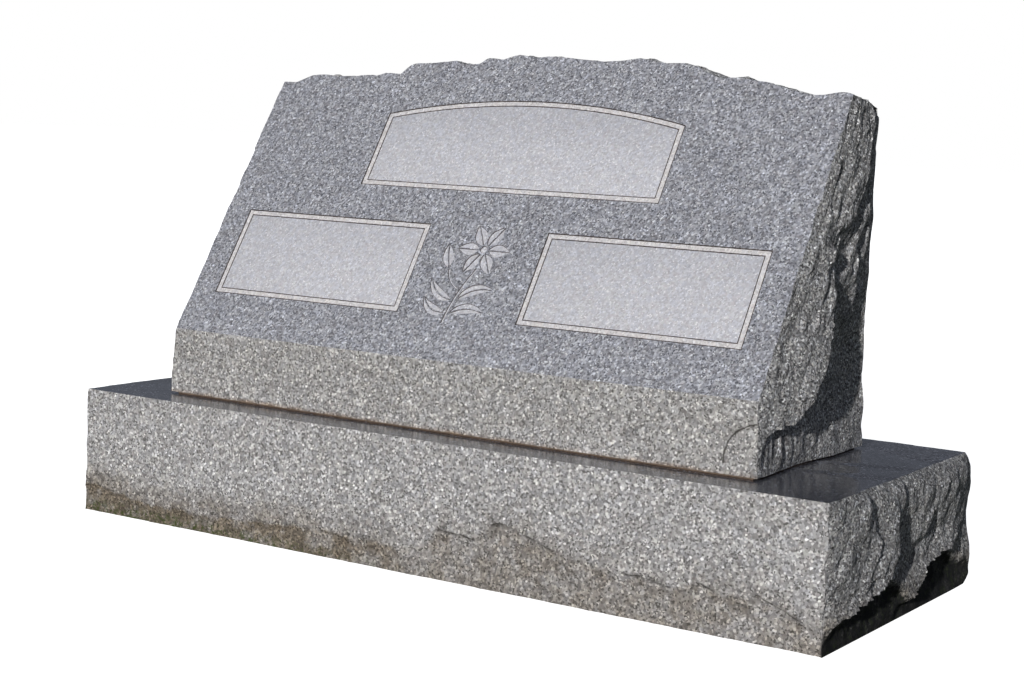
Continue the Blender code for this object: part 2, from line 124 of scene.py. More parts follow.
SIZES = Sizes()


def arc_rise(x: np.ndarray, half_width: float, rise: float) -> np.ndarray:
    """Height of a flat arc above its springing.

    Args:
        x: Distances from the arc's middle.
        half_width: Half the span.
        rise: Height of the arc at its middle.

    Returns:
        The height at each x.
    """
    radius = (half_width**2 + rise**2) / (2 * rise)
    return np.sqrt(np.maximum(radius**2 - np.square(x), 0.0)) - (radius - rise)


def smooth_step(x: np.ndarray, low: float, high: float) -> np.ndarray:
    """Share that rises smoothly from 0 at low to 1 at high.

    Args:
        x: Values to grade.
        low: Where the share leaves 0.
        high: Where it reaches 1.

    Returns:
        The share at each value.
    """
    t = np.clip((x - low) / (high - low), 0, 1)
    return t * t * (3 - 2 * t)


@dataclass(frozen=True)
class Crest:
    """A ridge of a right-hand end that rises slowly from the front and falls sharply behind.

    The line runs through points of (share of height, share of depth), and the heights are given at shares of
    the stone's height. The hollow is the share of the ridge's height that is broken out behind it.
    """

    line: Line
    heights: Line
    rise_run: float
    fall_run: float
    hollow: float

    def relief(self, depth_share: np.ndarray, height_share: np.ndarray, depth: float) -> np.ndarray:
        """Height of the ridge at each point.

        Args:
            depth_share: Place from front to back, 0 to 1.
            height_share: Place from foot to top, 0 to 1.
            depth: Depth of the stone.

        Returns:
            The relief.
        """
        past = (depth_share - np.interp(height_share, *zip(*self.line))) * depth
        before = np.clip(1 + past / self.rise_run, 0, 1)
        behind = 1 - (1 + self.hollow) * np.clip(past / self.fall_run, 0, 1)
        return np.interp(height_share, *zip(*self.heights)) * np.where(past < 0, before, behind)


@dataclass(frozen=True)
class Pitching:
    """The broken relief of a rock-pitched face."""

    swell: float = 0.013
    run: float = 0.022
    end_run: float = 0.045
    corner_run: float = 0.010
    chip_depth: float = 0.0030
    chip_run: float = 0.012
    chip_level: float = 0.6
    flake_size: float = 0.085
    flake_height: float = 0.011
    flake_squeeze: float = 0.6
    end_calm: float = 0.35
    edge_calm: float = 0.7
    edge_calm_run: float = 0.006
    settled: float = 0.92
    # A face's relief is carried round a corner as far as the reach, fading over the run
    turn_run: float = 0.022
    turn_reach: float = 0.09
    # Flakes after which the drawn pattern repeats, and how far a flake's middle strays in its own cell
    repeat: int = 64
    stray: float = 0.42
    # Finer flakes: width across, length along, height, how sharply they meet
    fine: tuple[tuple[float, float, float, float], ...] = (
        (0.028, 0.050, 0.0032, 22.0),
        (0.013, 0.026, 0.0016, 18.0),
        (0.0065, 0.011, 0.0006, 14.0),
    )

    def flakes(self, u: np.ndarray, w: np.ndarray, size: float, seed: int, crisp: float = 26.0) -> np.ndarray:
        """Height of a surface broken into tilted flakes of one size.

        Args:
            u: First coordinate on the face.
            w: Second coordinate on the face.
            size: Mean width of a flake.
            seed: Draws the flakes' places and tilts.
            crisp: How sharply one flake meets the next.

        Returns:
            The height at each point, about -1 to 1.
        """
        table = np.random.default_rng(seed).uniform(-1, 1, (self.repeat, self.repeat, 5))
        a, b = u / size, w / size
        column, row = np.floor(a).astype(int), np.floor(b).astype(int)
        total, weight = np.zeros_like(a), np.zeros_like(a)
        for i in (-1, 0, 1):
            for j in (-1, 0, 1):
                drawn = table[(column + i) % self.repeat, (row + j) % self.repeat]
                from_u = a - (column + i + 0.5 + self.stray * drawn[:, 0])
                from_w = b - (row + j + 0.5 + self.stray * drawn[:, 1])
                share = np.exp(-crisp * (from_u**2 + from_w**2))
                total += share * (0.5 * drawn[:, 2] + drawn[:, 3] * from_u + drawn[:, 4] * from_w)
                weight += share
        return total / np.maximum(weight, 1e-12)

    def edge_ripple(self, x: np.ndarray, size: float, seed: int, row: float = 0.01) -> np.ndarray:
        """Unevenness along a line, about -1 to 1.

        Args:
            x: Places along the line.
            size: Mean length of a ripple.
            seed: Draws the ripples.
            row: Where the line crosses the drawn flakes.

        Returns:
            The height at each place.
        """
        return self.flakes(x, np.full_like(x, row), size, seed)

    def relief(
        self,
        u: np.ndarray,
        w: np.ndarray,
        edges: Sequence[tuple[np.ndarray, float]],
        seed: int,
        form: float | np.ndarray = 0.0,
        foot: Optional[np.ndarray] = None,
        foot_line: float | np.ndarray = 0.0,
        calm: float = 1.0,
        foot_run: float = 0.010,
    ) -> np.ndarray:
        """How far the face stands out from its plane.

        Args:
            u: Distance across the flakes.
            w: Distance along the flakes.
            edges: Distances to each pitching line, with the run in which the swell grows from it.
            seed: Draws the flakes.
            form: Large relief to add, such as ridges.
            foot: Height above the stone's straight foot.
            foot_line: How far the foot stands out from the plane.
            calm: Share of the large flakes' height that is left.
            foot_run: Height in which the relief grows from the foot.

        Returns:
            The relief at each point.
        """
        mask, nearest = np.ones_like(u), np.full_like(u, 1e3)
        for distance, run in edges:
            mask = mask * (1 - np.exp(-np.maximum(distance, 0) / run))
            nearest = np.minimum(nearest, distance)
        large = self.flakes(u, self.flake_squeeze * w, self.flake_size, seed)
        body = self.swell + form + self.flake_height * calm * large
        rims = self.flakes(u, w, self.flake_size / 3, seed + 1)
        chips = self.chip_depth * (self.chip_level + self.chip_level * rims)
        out = mask * body - chips * np.exp(-np.square(nearest / self.chip_run))
        near_edge = 1 - self.edge_calm * np.exp(-np.maximum(nearest, 0) / self.edge_calm_run)
        for step, (across, along, height, crisp) in enumerate(self.fine):
            finer = self.flakes(u, w * across / along, across, seed + 5 + step, crisp)
            out = out + height * near_edge * finer
        if foot is None:
            return out
        free = 1 - np.exp(-foot / foot_run)
        return foot_line + (out - foot_line) * free

    def settle(
        self, relief: np.ndarray, depth_share: np.ndarray, height_share: np.ndarray, line: Line, start: float
    ) -> np.ndarray:
        """Leads the relief of an end to the line of its back edge.

        Args:
            relief: The relief so far.
            depth_share: Place from front to back, 0 to 1.
            height_share: Place from foot to top, 0 to 1.
            line: How far the back edge stands out, as (share of height, relief) points.
            start: Share of the depth where the lead begins.

        Returns:
            The relief at each point.
        """
        target = np.interp(height_share, *zip(*line))
        led = self.settled * np.square(np.clip((depth_share - start) / (1 - start), 0, 1))
        return relief + (target - relief) * led

    def turn(self, relief: np.ndarray, from_corner: np.ndarray, next_face: np.ndarray) -> np.ndarray:
        """Carries the relief of a face a little way round its corner.

        Args:
            relief: The relief of the face at every corner of the mesh.
            from_corner: Distance behind the face.
            next_face: Whether the mesh's corner lies on the next face.

        Returns:
            The relief on the face and, fading, on the next one.
        """
        turning = (from_corner < NEAR) | ((from_corner < self.turn_reach) & next_face)
        return np.where(turning, relief * np.exp(-np.maximum(from_corner, 0) / self.turn_run), 0)


PITCHING = Pitching()


class EditMode:
    """Keeps one object in edit mode while its block runs."""

    def __init__(self, piece: bpy.types.Object, select: str = "FACE") -> None:
        """Args: piece, the mesh object to edit; select, the kind of element to select."""
        self.piece = piece
        self.select = select

    def __enter__(self) -> bpy.types.Object:
        """Selects the piece alone and enters edit mode with nothing selected."""
        bpy.ops.object.select_all(action="DESELECT")
        self.piece.select_set(True)
        bpy.context.view_layer.objects.active = self.piece
        bpy.ops.object.mode_set(mode="EDIT")
        bpy.ops.mesh.select_mode(type=self.select)
        bpy.ops.mesh.select_all(action="DESELECT")
        return self.piece

    def __exit__(self, *problem: object) -> None:
        """Leaves edit mode."""
        bpy.ops.object.mode_set(mode="OBJECT")


def pick_faces(piece: bpy.types.Object, test: Callable[[bmesh.types.BMFace], bool]) -> int:
    """Selects the faces that pass a test, and no others.

    Args:
        piece: The object in edit mode.
        test: Says whether a face is wanted.

    Returns:
        How many faces are selected.
    """
    work = bmesh.from_edit_mesh(piece.data)
    bpy.ops.mesh.select_mode(type="FACE")
    for face in work.faces:
        face.select_set(False)
    found = [face for face in work.faces if test(face)]
    for face in found:
        face.select_set(True)
    bmesh.update_edit_mesh(piece.data)
    return len(found)


def pick_edges(piece: bpy.types.Object, test: Callable[[Vector, Vector], bool], loose: bool = False) -> int:
    """Selects the edges whose two ends pass a test, and no others.

    Args:
        piece: The object in edit mode.
        test: Says whether an edge with these two ends is wanted.
        loose: Whether only edges with fewer than two faces are looked at.

    Returns:
        How many edges are selected.
    """
    bpy.ops.mesh.select_mode(type="EDGE")
    work = bmesh.from_edit_mesh(piece.data)
    wanted = [
        (not loose or len(edge.link_faces) < 2) and test(*(corner.co for corner in edge.verts))
        for edge in work.edges
    ]
    for edge, chosen in zip(work.edges, wanted):
        edge.select_set(chosen)
    for edge, chosen in zip(work.edges, wanted):
        if edge.verts[0].select and edge.verts[1].select:
            edge.select = chosen
    bmesh.update_edit_mesh(piece.data)
    return sum(wanted)


def cut_along(
    piece: bpy.types.Object, axis: int, cuts: Sequence[int], low: float = -9, high: float = 9
) -> None:
    """Divides the edges that run along an axis into equal parts, in one or two passes.

    Args:
        piece: The object in edit mode.
        axis: 0, 1 or 2.
        cuts: How many parts each pass makes of an edge.
        low: Only edges above this level are cut, along the axis.
        high: Only edges below this level are cut.
    """

    def along(one: Vector, other: Vector) -> bool:
        """Whether an edge runs along the axis, within the levels."""
        run = other - one
        middle = (one[axis] + other[axis]) / 2
        return abs(run[axis]) > 0.999 * run.length and low < middle < high

    for parts in cuts:
        pick_edges(piece, along)
        bpy.ops.mesh.subdivide(number_cuts=parts - 1, smoothness=0, quadcorner="INNERVERT")


def surface_selected(piece: bpy.types.Object, surface: Surface | BaseSurface, corners: int = 0) -> None:
    """Gives the selected faces a finish.

    Args:
        piece: The object in edit mode.
        surface: The finish.
        corners: Only faces with this many corners are meant, unless it is 0.
    """
    work = bmesh.from_edit_mesh(piece.data)
    for face in work.faces:
        if face.select and corners in (0, len(face.verts)):
            face.material_index = surface.value
    bmesh.update_edit_mesh(piece.data)


def get_places(piece: bpy.types.Object) -> np.ndarray:
    """Corner positions of a mesh object, one row each."""
    flat = np.empty(len(piece.data.vertices) * 3)
    piece.data.vertices.foreach_get("co", flat)
    return flat.reshape(-1, 3)


def set_places(piece: bpy.types.Object, places: np.ndarray) -> None:
    """Moves the corners of a mesh object to new positions."""
    piece.data.vertices.foreach_set("co", places.ravel())
    piece.data.update()


def paint_mask(piece: bpy.types.Object, name: str, values: np.ndarray) -> None:
    """Stores one value per corner for the materials to read.

    Args:
        piece: The mesh object.
        name: The attribute's name.
        values: One number per corner.
    """
    layer = piece.data.attributes.new(name, "FLOAT", "POINT")
    layer.data.foreach_set("value", values.astype(np.float32))


class Sketch:
    """Lays out and wires the nodes of one material or node group."""

    def __init__(self, tree: bpy.types.NodeTree) -> None:
        """Args: tree, the node tree to work in."""
        self.tree = tree
        self.count = 0

    def add(self, kind: str, **settings: object) -> bpy.types.Node:
        """Adds a node.

        Args:
            kind: The node's type.
            **settings: Properties to set on it.

        Returns:
            The new node.
        """
        node = self.tree.nodes.new(kind)
        node.location = (180 * (self.count % 8), -220 * (self.count // 8))
        self.count += 1
        for name, value in settings.items():
            setattr(node, name, value)
        return node

    def feed(self, node: bpy.types.Node, socket: str | int, value: object) -> None:
        """Wires a socket to another node's output, or sets its value.

        Args:
            node: The node that receives.
            socket: The input's name or place.
            value: An output socket, or a number or colour.
        """
        if isinstance(value, bpy.types.NodeSocket):
            self.tree.links.new(value, node.inputs[socket])
            return
        target = node.inputs[socket]
        if isinstance(value, tuple) and len(value) == 3 and len(target.default_value) == 4:
            value = (*value, 1.0)
        target.default_value = value

    def math(self, operation: str, *values: object, clamp: bool = False) -> bpy.types.NodeSocket:
        """Adds a Math node and returns its result.

        Args:
            operation: The node's operation.
            *values: Its inputs, numbers or outputs.
            clamp: Whether the result is held between 0 and 1.

        Returns:
            The result's socket.
        """
        node = self.add("ShaderNodeMath", operation=operation, use_clamp=clamp)
        for place, value in enumerate(values):
            self.feed(node, place, value)
        return node.outputs[0]

    def grade(
        self, value: object, low: float, high: float, to_low: float = 0.0, to_high: float = 1.0
    ) -> bpy.types.NodeSocket:
        """Maps a range of values smoothly to another.

        Args:
            value: The values.
            low: Start of their range.
            high: End of their range.
            to_low: What the start becomes.
            to_high: What the end becomes.

        Returns:
            The result's socket.
        """
        node = self.add("ShaderNodeMapRange", interpolation_type="SMOOTHSTEP")
        sockets = ("Value", "From Min", "From Max", "To Min", "To Max")
        for socket, given in zip(sockets, (value, low, high, to_low, to_high)):
            self.feed(node, socket, given)
        return node.outputs[0]

    def mix(self, share: object, one: object, other: object, blend: str = "MIX") -> bpy.types.NodeSocket:
        """Mixes two colours and returns the result's socket.

        Args:
            share: How much of the second colour shows.
            one: The first colour.
            other: The second colour.
            blend: The blend type.

        Returns:
            The mixed colour's socket.
        """
        node = self.add("ShaderNodeMix", data_type="RGBA", blend_type=blend)
        self.feed(node, 0, share)
        self.feed(node, 6, one)
        self.feed(node, 7, other)
        return node.outputs[2]

    def noise(
        self, place: object, scale: float, detail: float = 3.0, rough: float = 0.55
    ) -> bpy.types.NodeSocket:
        """Adds a noise texture.

        Args:
            place: Where it is read.
            scale: How fine it is.
            detail: How many finer layers it has.
            rough: How strong these are.

        Returns:
            Its value's socket.
        """
        node = self.add("ShaderNodeTexNoise")
        for socket, given in (("Vector", place), ("Scale", scale), ("Detail", detail), ("Roughness", rough)):
            self.feed(node, socket, given)
        return node.outputs["Fac"]

    def group(self, tree: bpy.types.NodeTree, **values: object) -> bpy.types.Node:
        """Places a node group, with its inputs named with underscores for spaces.

        Args:
            tree: The group's tree.
            **values: What its inputs receive.

        Returns:
            The group node.
        """
        node = self.add("ShaderNodeGroup")
        node.node_tree = tree
        for name, value in values.items():
            self.feed(node, name.replace("_", " "), value)
        return node

    def apart(self, seen: bpy.types.Node, unseen: bpy.types.Node, out: bpy.types.Node) -> None:
        """Shows one shader to the camera and another to the light that bounces.

        Args:
            seen: The shader node that the camera sees.
            unseen: The shader node that lights the stones.
            out: The output node.
        """
        choice = self.add("ShaderNodeMixShader")
        self.feed(choice, 0, self.add("ShaderNodeLightPath").outputs["Is Camera Ray"])
        self.feed(choice, 1, unseen.outputs[0])
        self.feed(choice, 2, seen.outputs[0])
        self.feed(out, 0, choice.outputs[0])


def open_group(name: str, inputs: Sequence[tuple[str, str]], outputs: Sequence[tuple[str, str]]) -> tuple:
    """Starts a shader node group.

    Args:
        name: The group's name.
        inputs: Name and socket type of each input.
        outputs: Name and socket type of each output.

    Returns:
        The tree, its sketch, its input node and its output node.
    """
    tree = bpy.data.node_groups.new(name, "ShaderNodeTree")
    for label, kind in inputs:
        tree.interface.new_socket(label, in_out="INPUT", socket_type=kind)
    for label, kind in outputs:
        tree.interface.new_socket(label, in_out="OUTPUT", socket_type=kind)
    sketch = Sketch(tree)
    return tree, sketch, sketch.add("NodeGroupInput"), sketch.add("NodeGroupOutput")


COLOUR, NUMBER = "NodeSocketColor", "NodeSocketFloat"


# Granite grain: sizes of single crystals, of clusters and of flecks, and the crystals' warm and cool casts
GRAIN_SIZES = (1.0, 0.42, 1.35)
WARM_CAST, GREEN_CAST, COOL_CAST = (1.035, 0.990, 0.995), (0.985, 1.020, 0.975), (0.975, 1.0, 1.035)
CLOUD_SCALE = 14.0


def make_grain_group() -> bpy.types.NodeTree:
    """Granite grain: crystals that differ in shade and warmth, with dark mica and pale feldspar among them.

    Returns:
        The node group, with Color and Height outputs.
    """
    tree, s, into, out = open_group(
        "granite_grain",
        [
            ("Ground", COLOUR),
            ("Pale", COLOUR),
            ("Dark", COLOUR),
            ("Pale Share", NUMBER),
            ("Dark Share", NUMBER),
            ("Grain Scale", NUMBER),
            ("Contrast", NUMBER),
            ("Blotch", NUMBER),
        ],
        [("Color", COLOUR), ("Height", NUMBER)],
    )
    place = s.add("ShaderNodeTexCoord").outputs["Object"]
    drawn = []
    for factor in GRAIN_SIZES:
        cells = s.add("ShaderNodeTexVoronoi")
        s.feed(cells, "Vector", place)
        s.feed(cells, "Scale", s.math("MULTIPLY", into.outputs["Grain Scale"], factor))
        split = s.add("ShaderNodeSeparateColor")
        s.feed(split, 0, cells.outputs["Color"])
        drawn.append(split.outputs)
    crystal, cluster, fleck = drawn
    total = s.math("ADD", s.math("ADD", crystal[0], crystal[1]), s.math("SUBTRACT", crystal[2], 1.5))
    shade = s.math("EXPONENT", s.math("MULTIPLY", total, s.math("MULTIPLY", into.outputs["Contrast"], 2.0)))
    tint = s.mix(cluster[0], s.mix(crystal[1], WARM_CAST, GREEN_CAST), COOL_CAST)
    ground = s.mix(1.0, into.outputs["Ground"], tint, "MULTIPLY")
    cloud = s.math("SUBTRACT", s.noise(place, CLOUD_SCALE, 4.0), 0.5)
    wash = s.math("ADD", 1.0, s.math("MULTIPLY", cloud, into.outputs["Blotch"]))
    shaded = s.add("ShaderNodeVectorMath", operation="SCALE")
    s.feed(shaded, 0, ground)
    s.feed(shaded, "Scale", s.math("MULTIPLY", shade, wash))
    is_pale = s.math("GREATER_THAN", fleck[0], s.math("SUBTRACT", 1.0, into.outputs["Pale Share"]))
    with_pale = s.mix(is_pale, shaded.outputs[0], into.outputs["Pale"])
    is_dark = s.math("LESS_THAN", fleck[0], into.outputs["Dark Share"])
    s.feed(out, "Color", s.mix(is_dark, with_pale, into.outputs["Dark"]))
    crystal_height, cluster_height = s.math("MULTIPLY", crystal[1], 0.6), s.math("MULTIPLY", cluster[1], 0.4)
    s.feed(out, "Height", s.math("ADD", crystal_height, cluster_height))
    return tree


# Weather marks: how fine each kind of patch is, and its colours
PATCH_SCALE, TUFT_SCALE, RUST_SCALE, EARTH_AND_SHADE_SCALE = 38.0, 190.0, 26.0, 120.0
DAMP_TINT, RUST_TINT = (0.44, 0.375, 0.29), (0.74, 0.58, 0.46)
MOSS_DARK, MOSS_LIGHT, MOSS_SCALE = (0.020, 0.030, 0.008), (0.085, 0.105, 0.028), 420.0
# Near-black colours for the undercut foot of the base's right-hand end: partly dark dirt and grass, partly
# painted shade of the undercut
EARTH_AND_SHADE_DARK, EARTH_AND_SHADE_LIGHT = (0.009, 0.010, 0.012), (0.020, 0.028, 0.012)
# A thin dark line of painted shade: it stands for the shadow under the lip of the front's break and at the rim of
# the nosing's chip
SHADE_LINE_COLOUR, SHADE_LINE_SHARE = (0.030, 0.026, 0.022), 0.85


def make_weather_group() -> bpy.types.NodeTree:
    """Damp, moss, rust, near-black dirt with painted shade in an undercut foot, and thin lines of painted shade,
    laid over a stone's colour where its masks say.

    Returns:
        The node group, with a Color output.
    """
    tree, s, into, out = open_group(
        "weather_marks",
        [
            ("Color", COLOUR),
            ("Damp", NUMBER),
            ("Damp Tint", COLOUR),
            ("Moss", NUMBER),
            ("Soil_And_Shade", NUMBER),
            ("Shade_Line", NUMBER),
            ("Stain", NUMBER),
        ],
        [("Color", COLOUR)],
    )
    place = s.add("ShaderNodeTexCoord").outputs["Object"]
    colour = into.outputs["Color"]
    patch = s.grade(s.noise(place, PATCH_SCALE, 5.0, 0.65), 0.36, 0.62)
    damp = s.math("MULTIPLY", into.outputs["Damp"], s.math("ADD", 0.45, s.math("MULTIPLY", patch, 0.55)))
    darker = s.mix(damp, colour, s.mix(1.0, colour, into.outputs["Damp Tint"], "MULTIPLY"))
    tuft = s.math("MULTIPLY", s.grade(s.noise(place, TUFT_SCALE, 4.0, 0.7), 0.46, 0.62), 1.1)
    growth = s.math("MULTIPLY", into.outputs["Moss"], tuft, clamp=True)
    grown = s.mix(growth, darker, s.mix(s.noise(place, MOSS_SCALE, 2.0), MOSS_DARK, MOSS_LIGHT))
    run = s.grade(s.noise(place, RUST_SCALE, 4.0, 0.6), 0.40, 0.66)
    rust = s.math("MULTIPLY", into.outputs["Stain"], s.math("ADD", 0.35, s.math("MULTIPLY", run, 0.65)))
    stained = s.mix(rust, grown, s.mix(1.0, grown, RUST_TINT, "MULTIPLY"))
    # Near-black colour of the undercut foot, dark dirt that also paints the undercut's shade
    earth_and_shade = s.mix(s.grade(s.noise(place, EARTH_AND_SHADE_SCALE, 4.0, 0.7), 0.5, 0.62), EARTH_AND_SHADE_DARK, EARTH_AND_SHADE_LIGHT)
    hold = s.math("ADD", 0.88, s.math("MULTIPLY", patch, 0.12))
    soiled_and_shaded = s.mix(s.math("MULTIPLY", into.outputs["Soil_And_Shade"], hold, clamp=True), stained, earth_and_shade)
    # Thin dark line of painted shade under the front's lip and at the chip's rim
    shade_line = s.math("MULTIPLY", into.outputs["Shade_Line"], SHADE_LINE_SHARE, clamp=True)
    lined = s.mix(shade_line, soiled_and_shaded, SHADE_LINE_COLOUR)
    s.feed(out, "Color", lined)
    return tree


@dataclass(frozen=True)
class Chip:
    """A shell-shaped chip: its middle, measured up from the tablet's foot, its half width and half height."""

    across: float
    up: float
    half_width: float
    half_height: float
    depth: float = 0.0022
    rim_run: float = 0.046
    fade_run: float = 0.010


NOSING_CHIP = Chip(0.463, 0.020, 0.0485, 0.044)


@dataclass(frozen=True)
class GraniteFinish:
    """One worked surface of the granite."""

    name: str
    ground: Colour
    pale: Colour
    dark: Colour
    pale_share: float = 0.16
    dark_share: float = 0.17
    contrast: float = 0.6
    blotch: float = 0.18
    roughness: float = 0.5
    sheen_level: float = 0.5
    gloss_coat: float = 0.0
    coat_roughness: float = 0.18
    tooth: float = 0.1
    tooth_depth: float = 0.0004
    grain_scale: float = 400.0
    weathered: bool = False
    stain_level: float = 0.0
    stain_height: float = 0.006
    chip: Optional[Chip] = None
    broken: bool = False

    def chip_rim_shade(self, s: Sketch, place: bpy.types.NodeSocket) -> bpy.types.NodeSocket:
        """Mask of the painted shade along the left rim of a shell-shaped chip.

        Args:
            s: The material's sketch.
            place: The place on the object.

        Returns:
            The mask's socket.
        """
        chip, middle = self.chip, SIZES.tablet_foot + self.chip.up
        level = s.add("ShaderNodeSeparateXYZ")
        s.feed(level, 0, place)
        dx = s.math("DIVIDE", s.math("SUBTRACT", level.outputs["X"], chip.across), chip.half_width)
        dz = s.math("DIVIDE", s.math("SUBTRACT", level.outputs["Z"], middle), chip.half_height)
        reach = s.math("SQRT", s.math("ADD", s.math("MULTIPLY", dx, dx), s.math("MULTIPLY", dz, dz)))
        ragged = s.math("MULTIPLY", s.math("SUBTRACT", s.noise(place, 160.0), 0.5), 0.10)
        off = s.math("ABSOLUTE", s.math("SUBTRACT", s.math("ADD", reach, ragged), 1.0))
        line = s.grade(off, 0.010, 0.034, 1.0, 0.0)
        left = s.grade(dx, -0.22, 0.05, 1.0, 0.0)
        return s.math("MULTIPLY", s.math("MULTIPLY", line, left), s.grade(dz, -0.22, -0.05), clamp=True)

    def make(self, grain: bpy.types.NodeTree, weather: bpy.types.NodeTree) -> bpy.types.Material:
        """Builds the material.

        Args:
            grain: The granite grain group.
            weather: The weather marks group.

        Returns:
            The finished material.
        """
        material = bpy.data.materials.new(self.name)
        material.use_nodes = True
        material.diffuse_color = (*self.ground, 1.0)
        shader = material.node_tree.nodes["Principled BSDF"]
        s = Sketch(material.node_tree)
        stone = s.group(
            grain,
            Ground=self.ground,
            Pale=self.pale,
            Dark=self.dark,
            Pale_Share=self.pale_share,
            Dark_Share=self.dark_share,
            Grain_Scale=self.grain_scale,
            Contrast=self.contrast,
            Blotch=self.blotch,
        )
        colour = stone.outputs["Color"]
        height = stone.outputs["Height"]
        place = s.add("ShaderNodeTexCoord").outputs["Object"]
        if self.broken:
            crust = s.noise(place, 210.0, 5.0, 0.7)
            height = s.math("ADD", s.math("MULTIPLY", height, 0.5), crust)
        if self.weathered or self.stain_level:
            marks = s.group(weather, Color=colour, Damp_Tint=DAMP_TINT)
            if self.weathered:
                # Two of these masks paint shade: the undercut foot's dark dirt is partly painted shade, and the
                # thin dark line is painted shade
                for label in ("Damp", "Moss", "Soil_And_Shade", "Shade_Line"):
                    mask = s.add("ShaderNodeAttribute", attribute_name=label.lower())
                    s.feed(marks, label, mask.outputs["Fac"])
            if self.stain_level:
                level = s.add("ShaderNodeSeparateXYZ")
                s.feed(level, 0, place)
                top = self.stain_level + self.stain_height
                s.feed(marks, "Stain", s.grade(level.outputs["Z"], self.stain_level, top, 1.0, 0.0))
            if self.chip:
                # Painted shade along the chip's rim
                s.feed(marks, "Shade_Line", self.chip_rim_shade(s, place))
            colour = marks.outputs["Color"]
        s.feed(shader, "Base Color", colour)
        uneven = s.math("MULTIPLY", s.noise(place, 60.0), 0.1)
        gloss = s.math("ADD", self.roughness - 0.05, uneven, clamp=True)
        s.feed(shader, "Roughness", gloss)
        s.feed(shader, "Specular IOR Level", self.sheen_level)
        s.feed(shader, "Coat Weight", self.gloss_coat)
        s.feed(shader, "Coat Roughness", self.coat_roughness)
        bump = s.add("ShaderNodeBump")
        s.feed(bump, "Strength", self.tooth)
        s.feed(bump, "Distance", self.tooth_depth)
        s.feed(bump, "Height", height)
        s.feed(shader, "Normal", bump.outputs[0])
        return material


@dataclass(frozen=True)
class PlainFinish:
    """A surface of one substance, clouded by noise."""

    name: str
    one: Colour
    other: Colour
    roughness: float = 0.8
    scale: float = 90.0
    tooth: float = 0.4
    tooth_depth: float = 0.0005

    def make(self) -> bpy.types.Material:
        """Makes the material.

        Returns:
            The material.
        """
        material = bpy.data.materials.new(self.name)
        material.use_nodes = True
        shader = material.node_tree.nodes["Principled BSDF"]
        s = Sketch(material.node_tree)
        place = s.add("ShaderNodeTexCoord").outputs["Object"]
        cloud = s.noise(place, self.scale, 4.0)
        s.feed(shader, "Base Color", s.mix(cloud, self.one, self.other))
        s.feed(shader, "Roughness", self.roughness)
        bump = s.add("ShaderNodeBump")
        s.feed(bump, "Strength", self.tooth)
        s.feed(bump, "Distance", self.tooth_depth)
        s.feed(bump, "Height", s.noise(place, self.scale * 8))
        s.feed(shader, "Normal", bump.outputs[0])
        return material


POLISHED_SLANT = GraniteFinish(
    "polished_slant", (0.300, 0.302, 0.332), (0.62, 0.62, 0.64), (0.10, 0.103, 0.12),
    pale_share=0.02, dark_share=0.08, contrast=0.36, blotch=0.10,
    roughness=0.28, sheen_level=0.4, tooth=0.05, grain_scale=420.0,
)
STEELED_NOSING = GraniteFinish(
    "steeled_nosing", (0.330, 0.319, 0.313), (0.70, 0.68, 0.66), (0.11, 0.105, 0.10),
    pale_share=0.02, dark_share=0.08, contrast=0.38, blotch=0.12, roughness=0.6, sheen_level=0.3, tooth=0.2,
    grain_scale=370.0, stain_level=SIZES.tablet_foot, chip=NOSING_CHIP,
)
FROSTED_PANEL = GraniteFinish(
    "frosted_panel", (0.525, 0.520, 0.556), (0.74, 0.73, 0.76), (0.42, 0.415, 0.44),
    pale_share=0.03, dark_share=0.04, contrast=0.11, blotch=0.05, roughness=0.85, sheen_level=0.2, tooth=0.2,
    grain_scale=430.0,
)
BLASTED_BAND = GraniteFinish(
    "blasted_band", (0.62, 0.595, 0.60), (0.78, 0.75, 0.74), (0.46, 0.44, 0.44),
    pale_share=0.03, dark_share=0.04, contrast=0.11, blotch=0.05, roughness=0.85, sheen_level=0.2, tooth=0.2,
)
INCISED_LINE = GraniteFinish(
    "incised_line", (0.085, 0.070, 0.068), (0.16, 0.14, 0.13), (0.04, 0.035, 0.033),
    contrast=0.25, roughness=0.7, sheen_level=0.2,
)
PITCHED_ROCK = GraniteFinish(
    "pitched_rock", (0.350, 0.344, 0.347), (0.72, 0.70, 0.67), (0.085, 0.082, 0.085),
    pale_share=0.06, dark_share=0.10, contrast=0.55, roughness=0.75, sheen_level=0.35,
    tooth=1.0, tooth_depth=0.0024, broken=True,
)
STEELED_BASE = GraniteFinish(
    "steeled_base", (0.356, 0.345, 0.346), (0.72, 0.70, 0.69), (0.12, 0.116, 0.112),
    pale_share=0.02, dark_share=0.08, contrast=0.38, blotch=0.14, roughness=0.62, sheen_level=0.3, tooth=0.2,
    grain_scale=350.0, weathered=True,
)
# The base's top is the same polished granite as the slant face; its much darker ground colour is painted shade,
# for a top lit at a low angle
SHADED_POLISHED_TOP = GraniteFinish(
    "polished_top_shaded", (0.078, 0.080, 0.095), (0.17, 0.17, 0.19), (0.03, 0.03, 0.036),
    pale_share=0.12, dark_share=0.12, contrast=0.75, roughness=0.20, sheen_level=0.45, tooth=0.02,
    gloss_coat=0.5,
)
PITCHED_BASE = replace(PITCHED_ROCK, name="pitched_base", weathered=True)
SAWN_UNDERSIDE = GraniteFinish(
    "sawn_underside", (0.28, 0.275, 0.27), (0.5, 0.48, 0.46), (0.10, 0.10, 0.10),
    contrast=0.3, roughness=0.8, sheen_level=0.2, tooth=0.4,
)
SETTING_COMPOUND = PlainFinish("setting_compound_brown", (0.085, 0.055, 0.038), (0.17, 0.115, 0.078))


SHARP_FROM = math.radians(40.0)


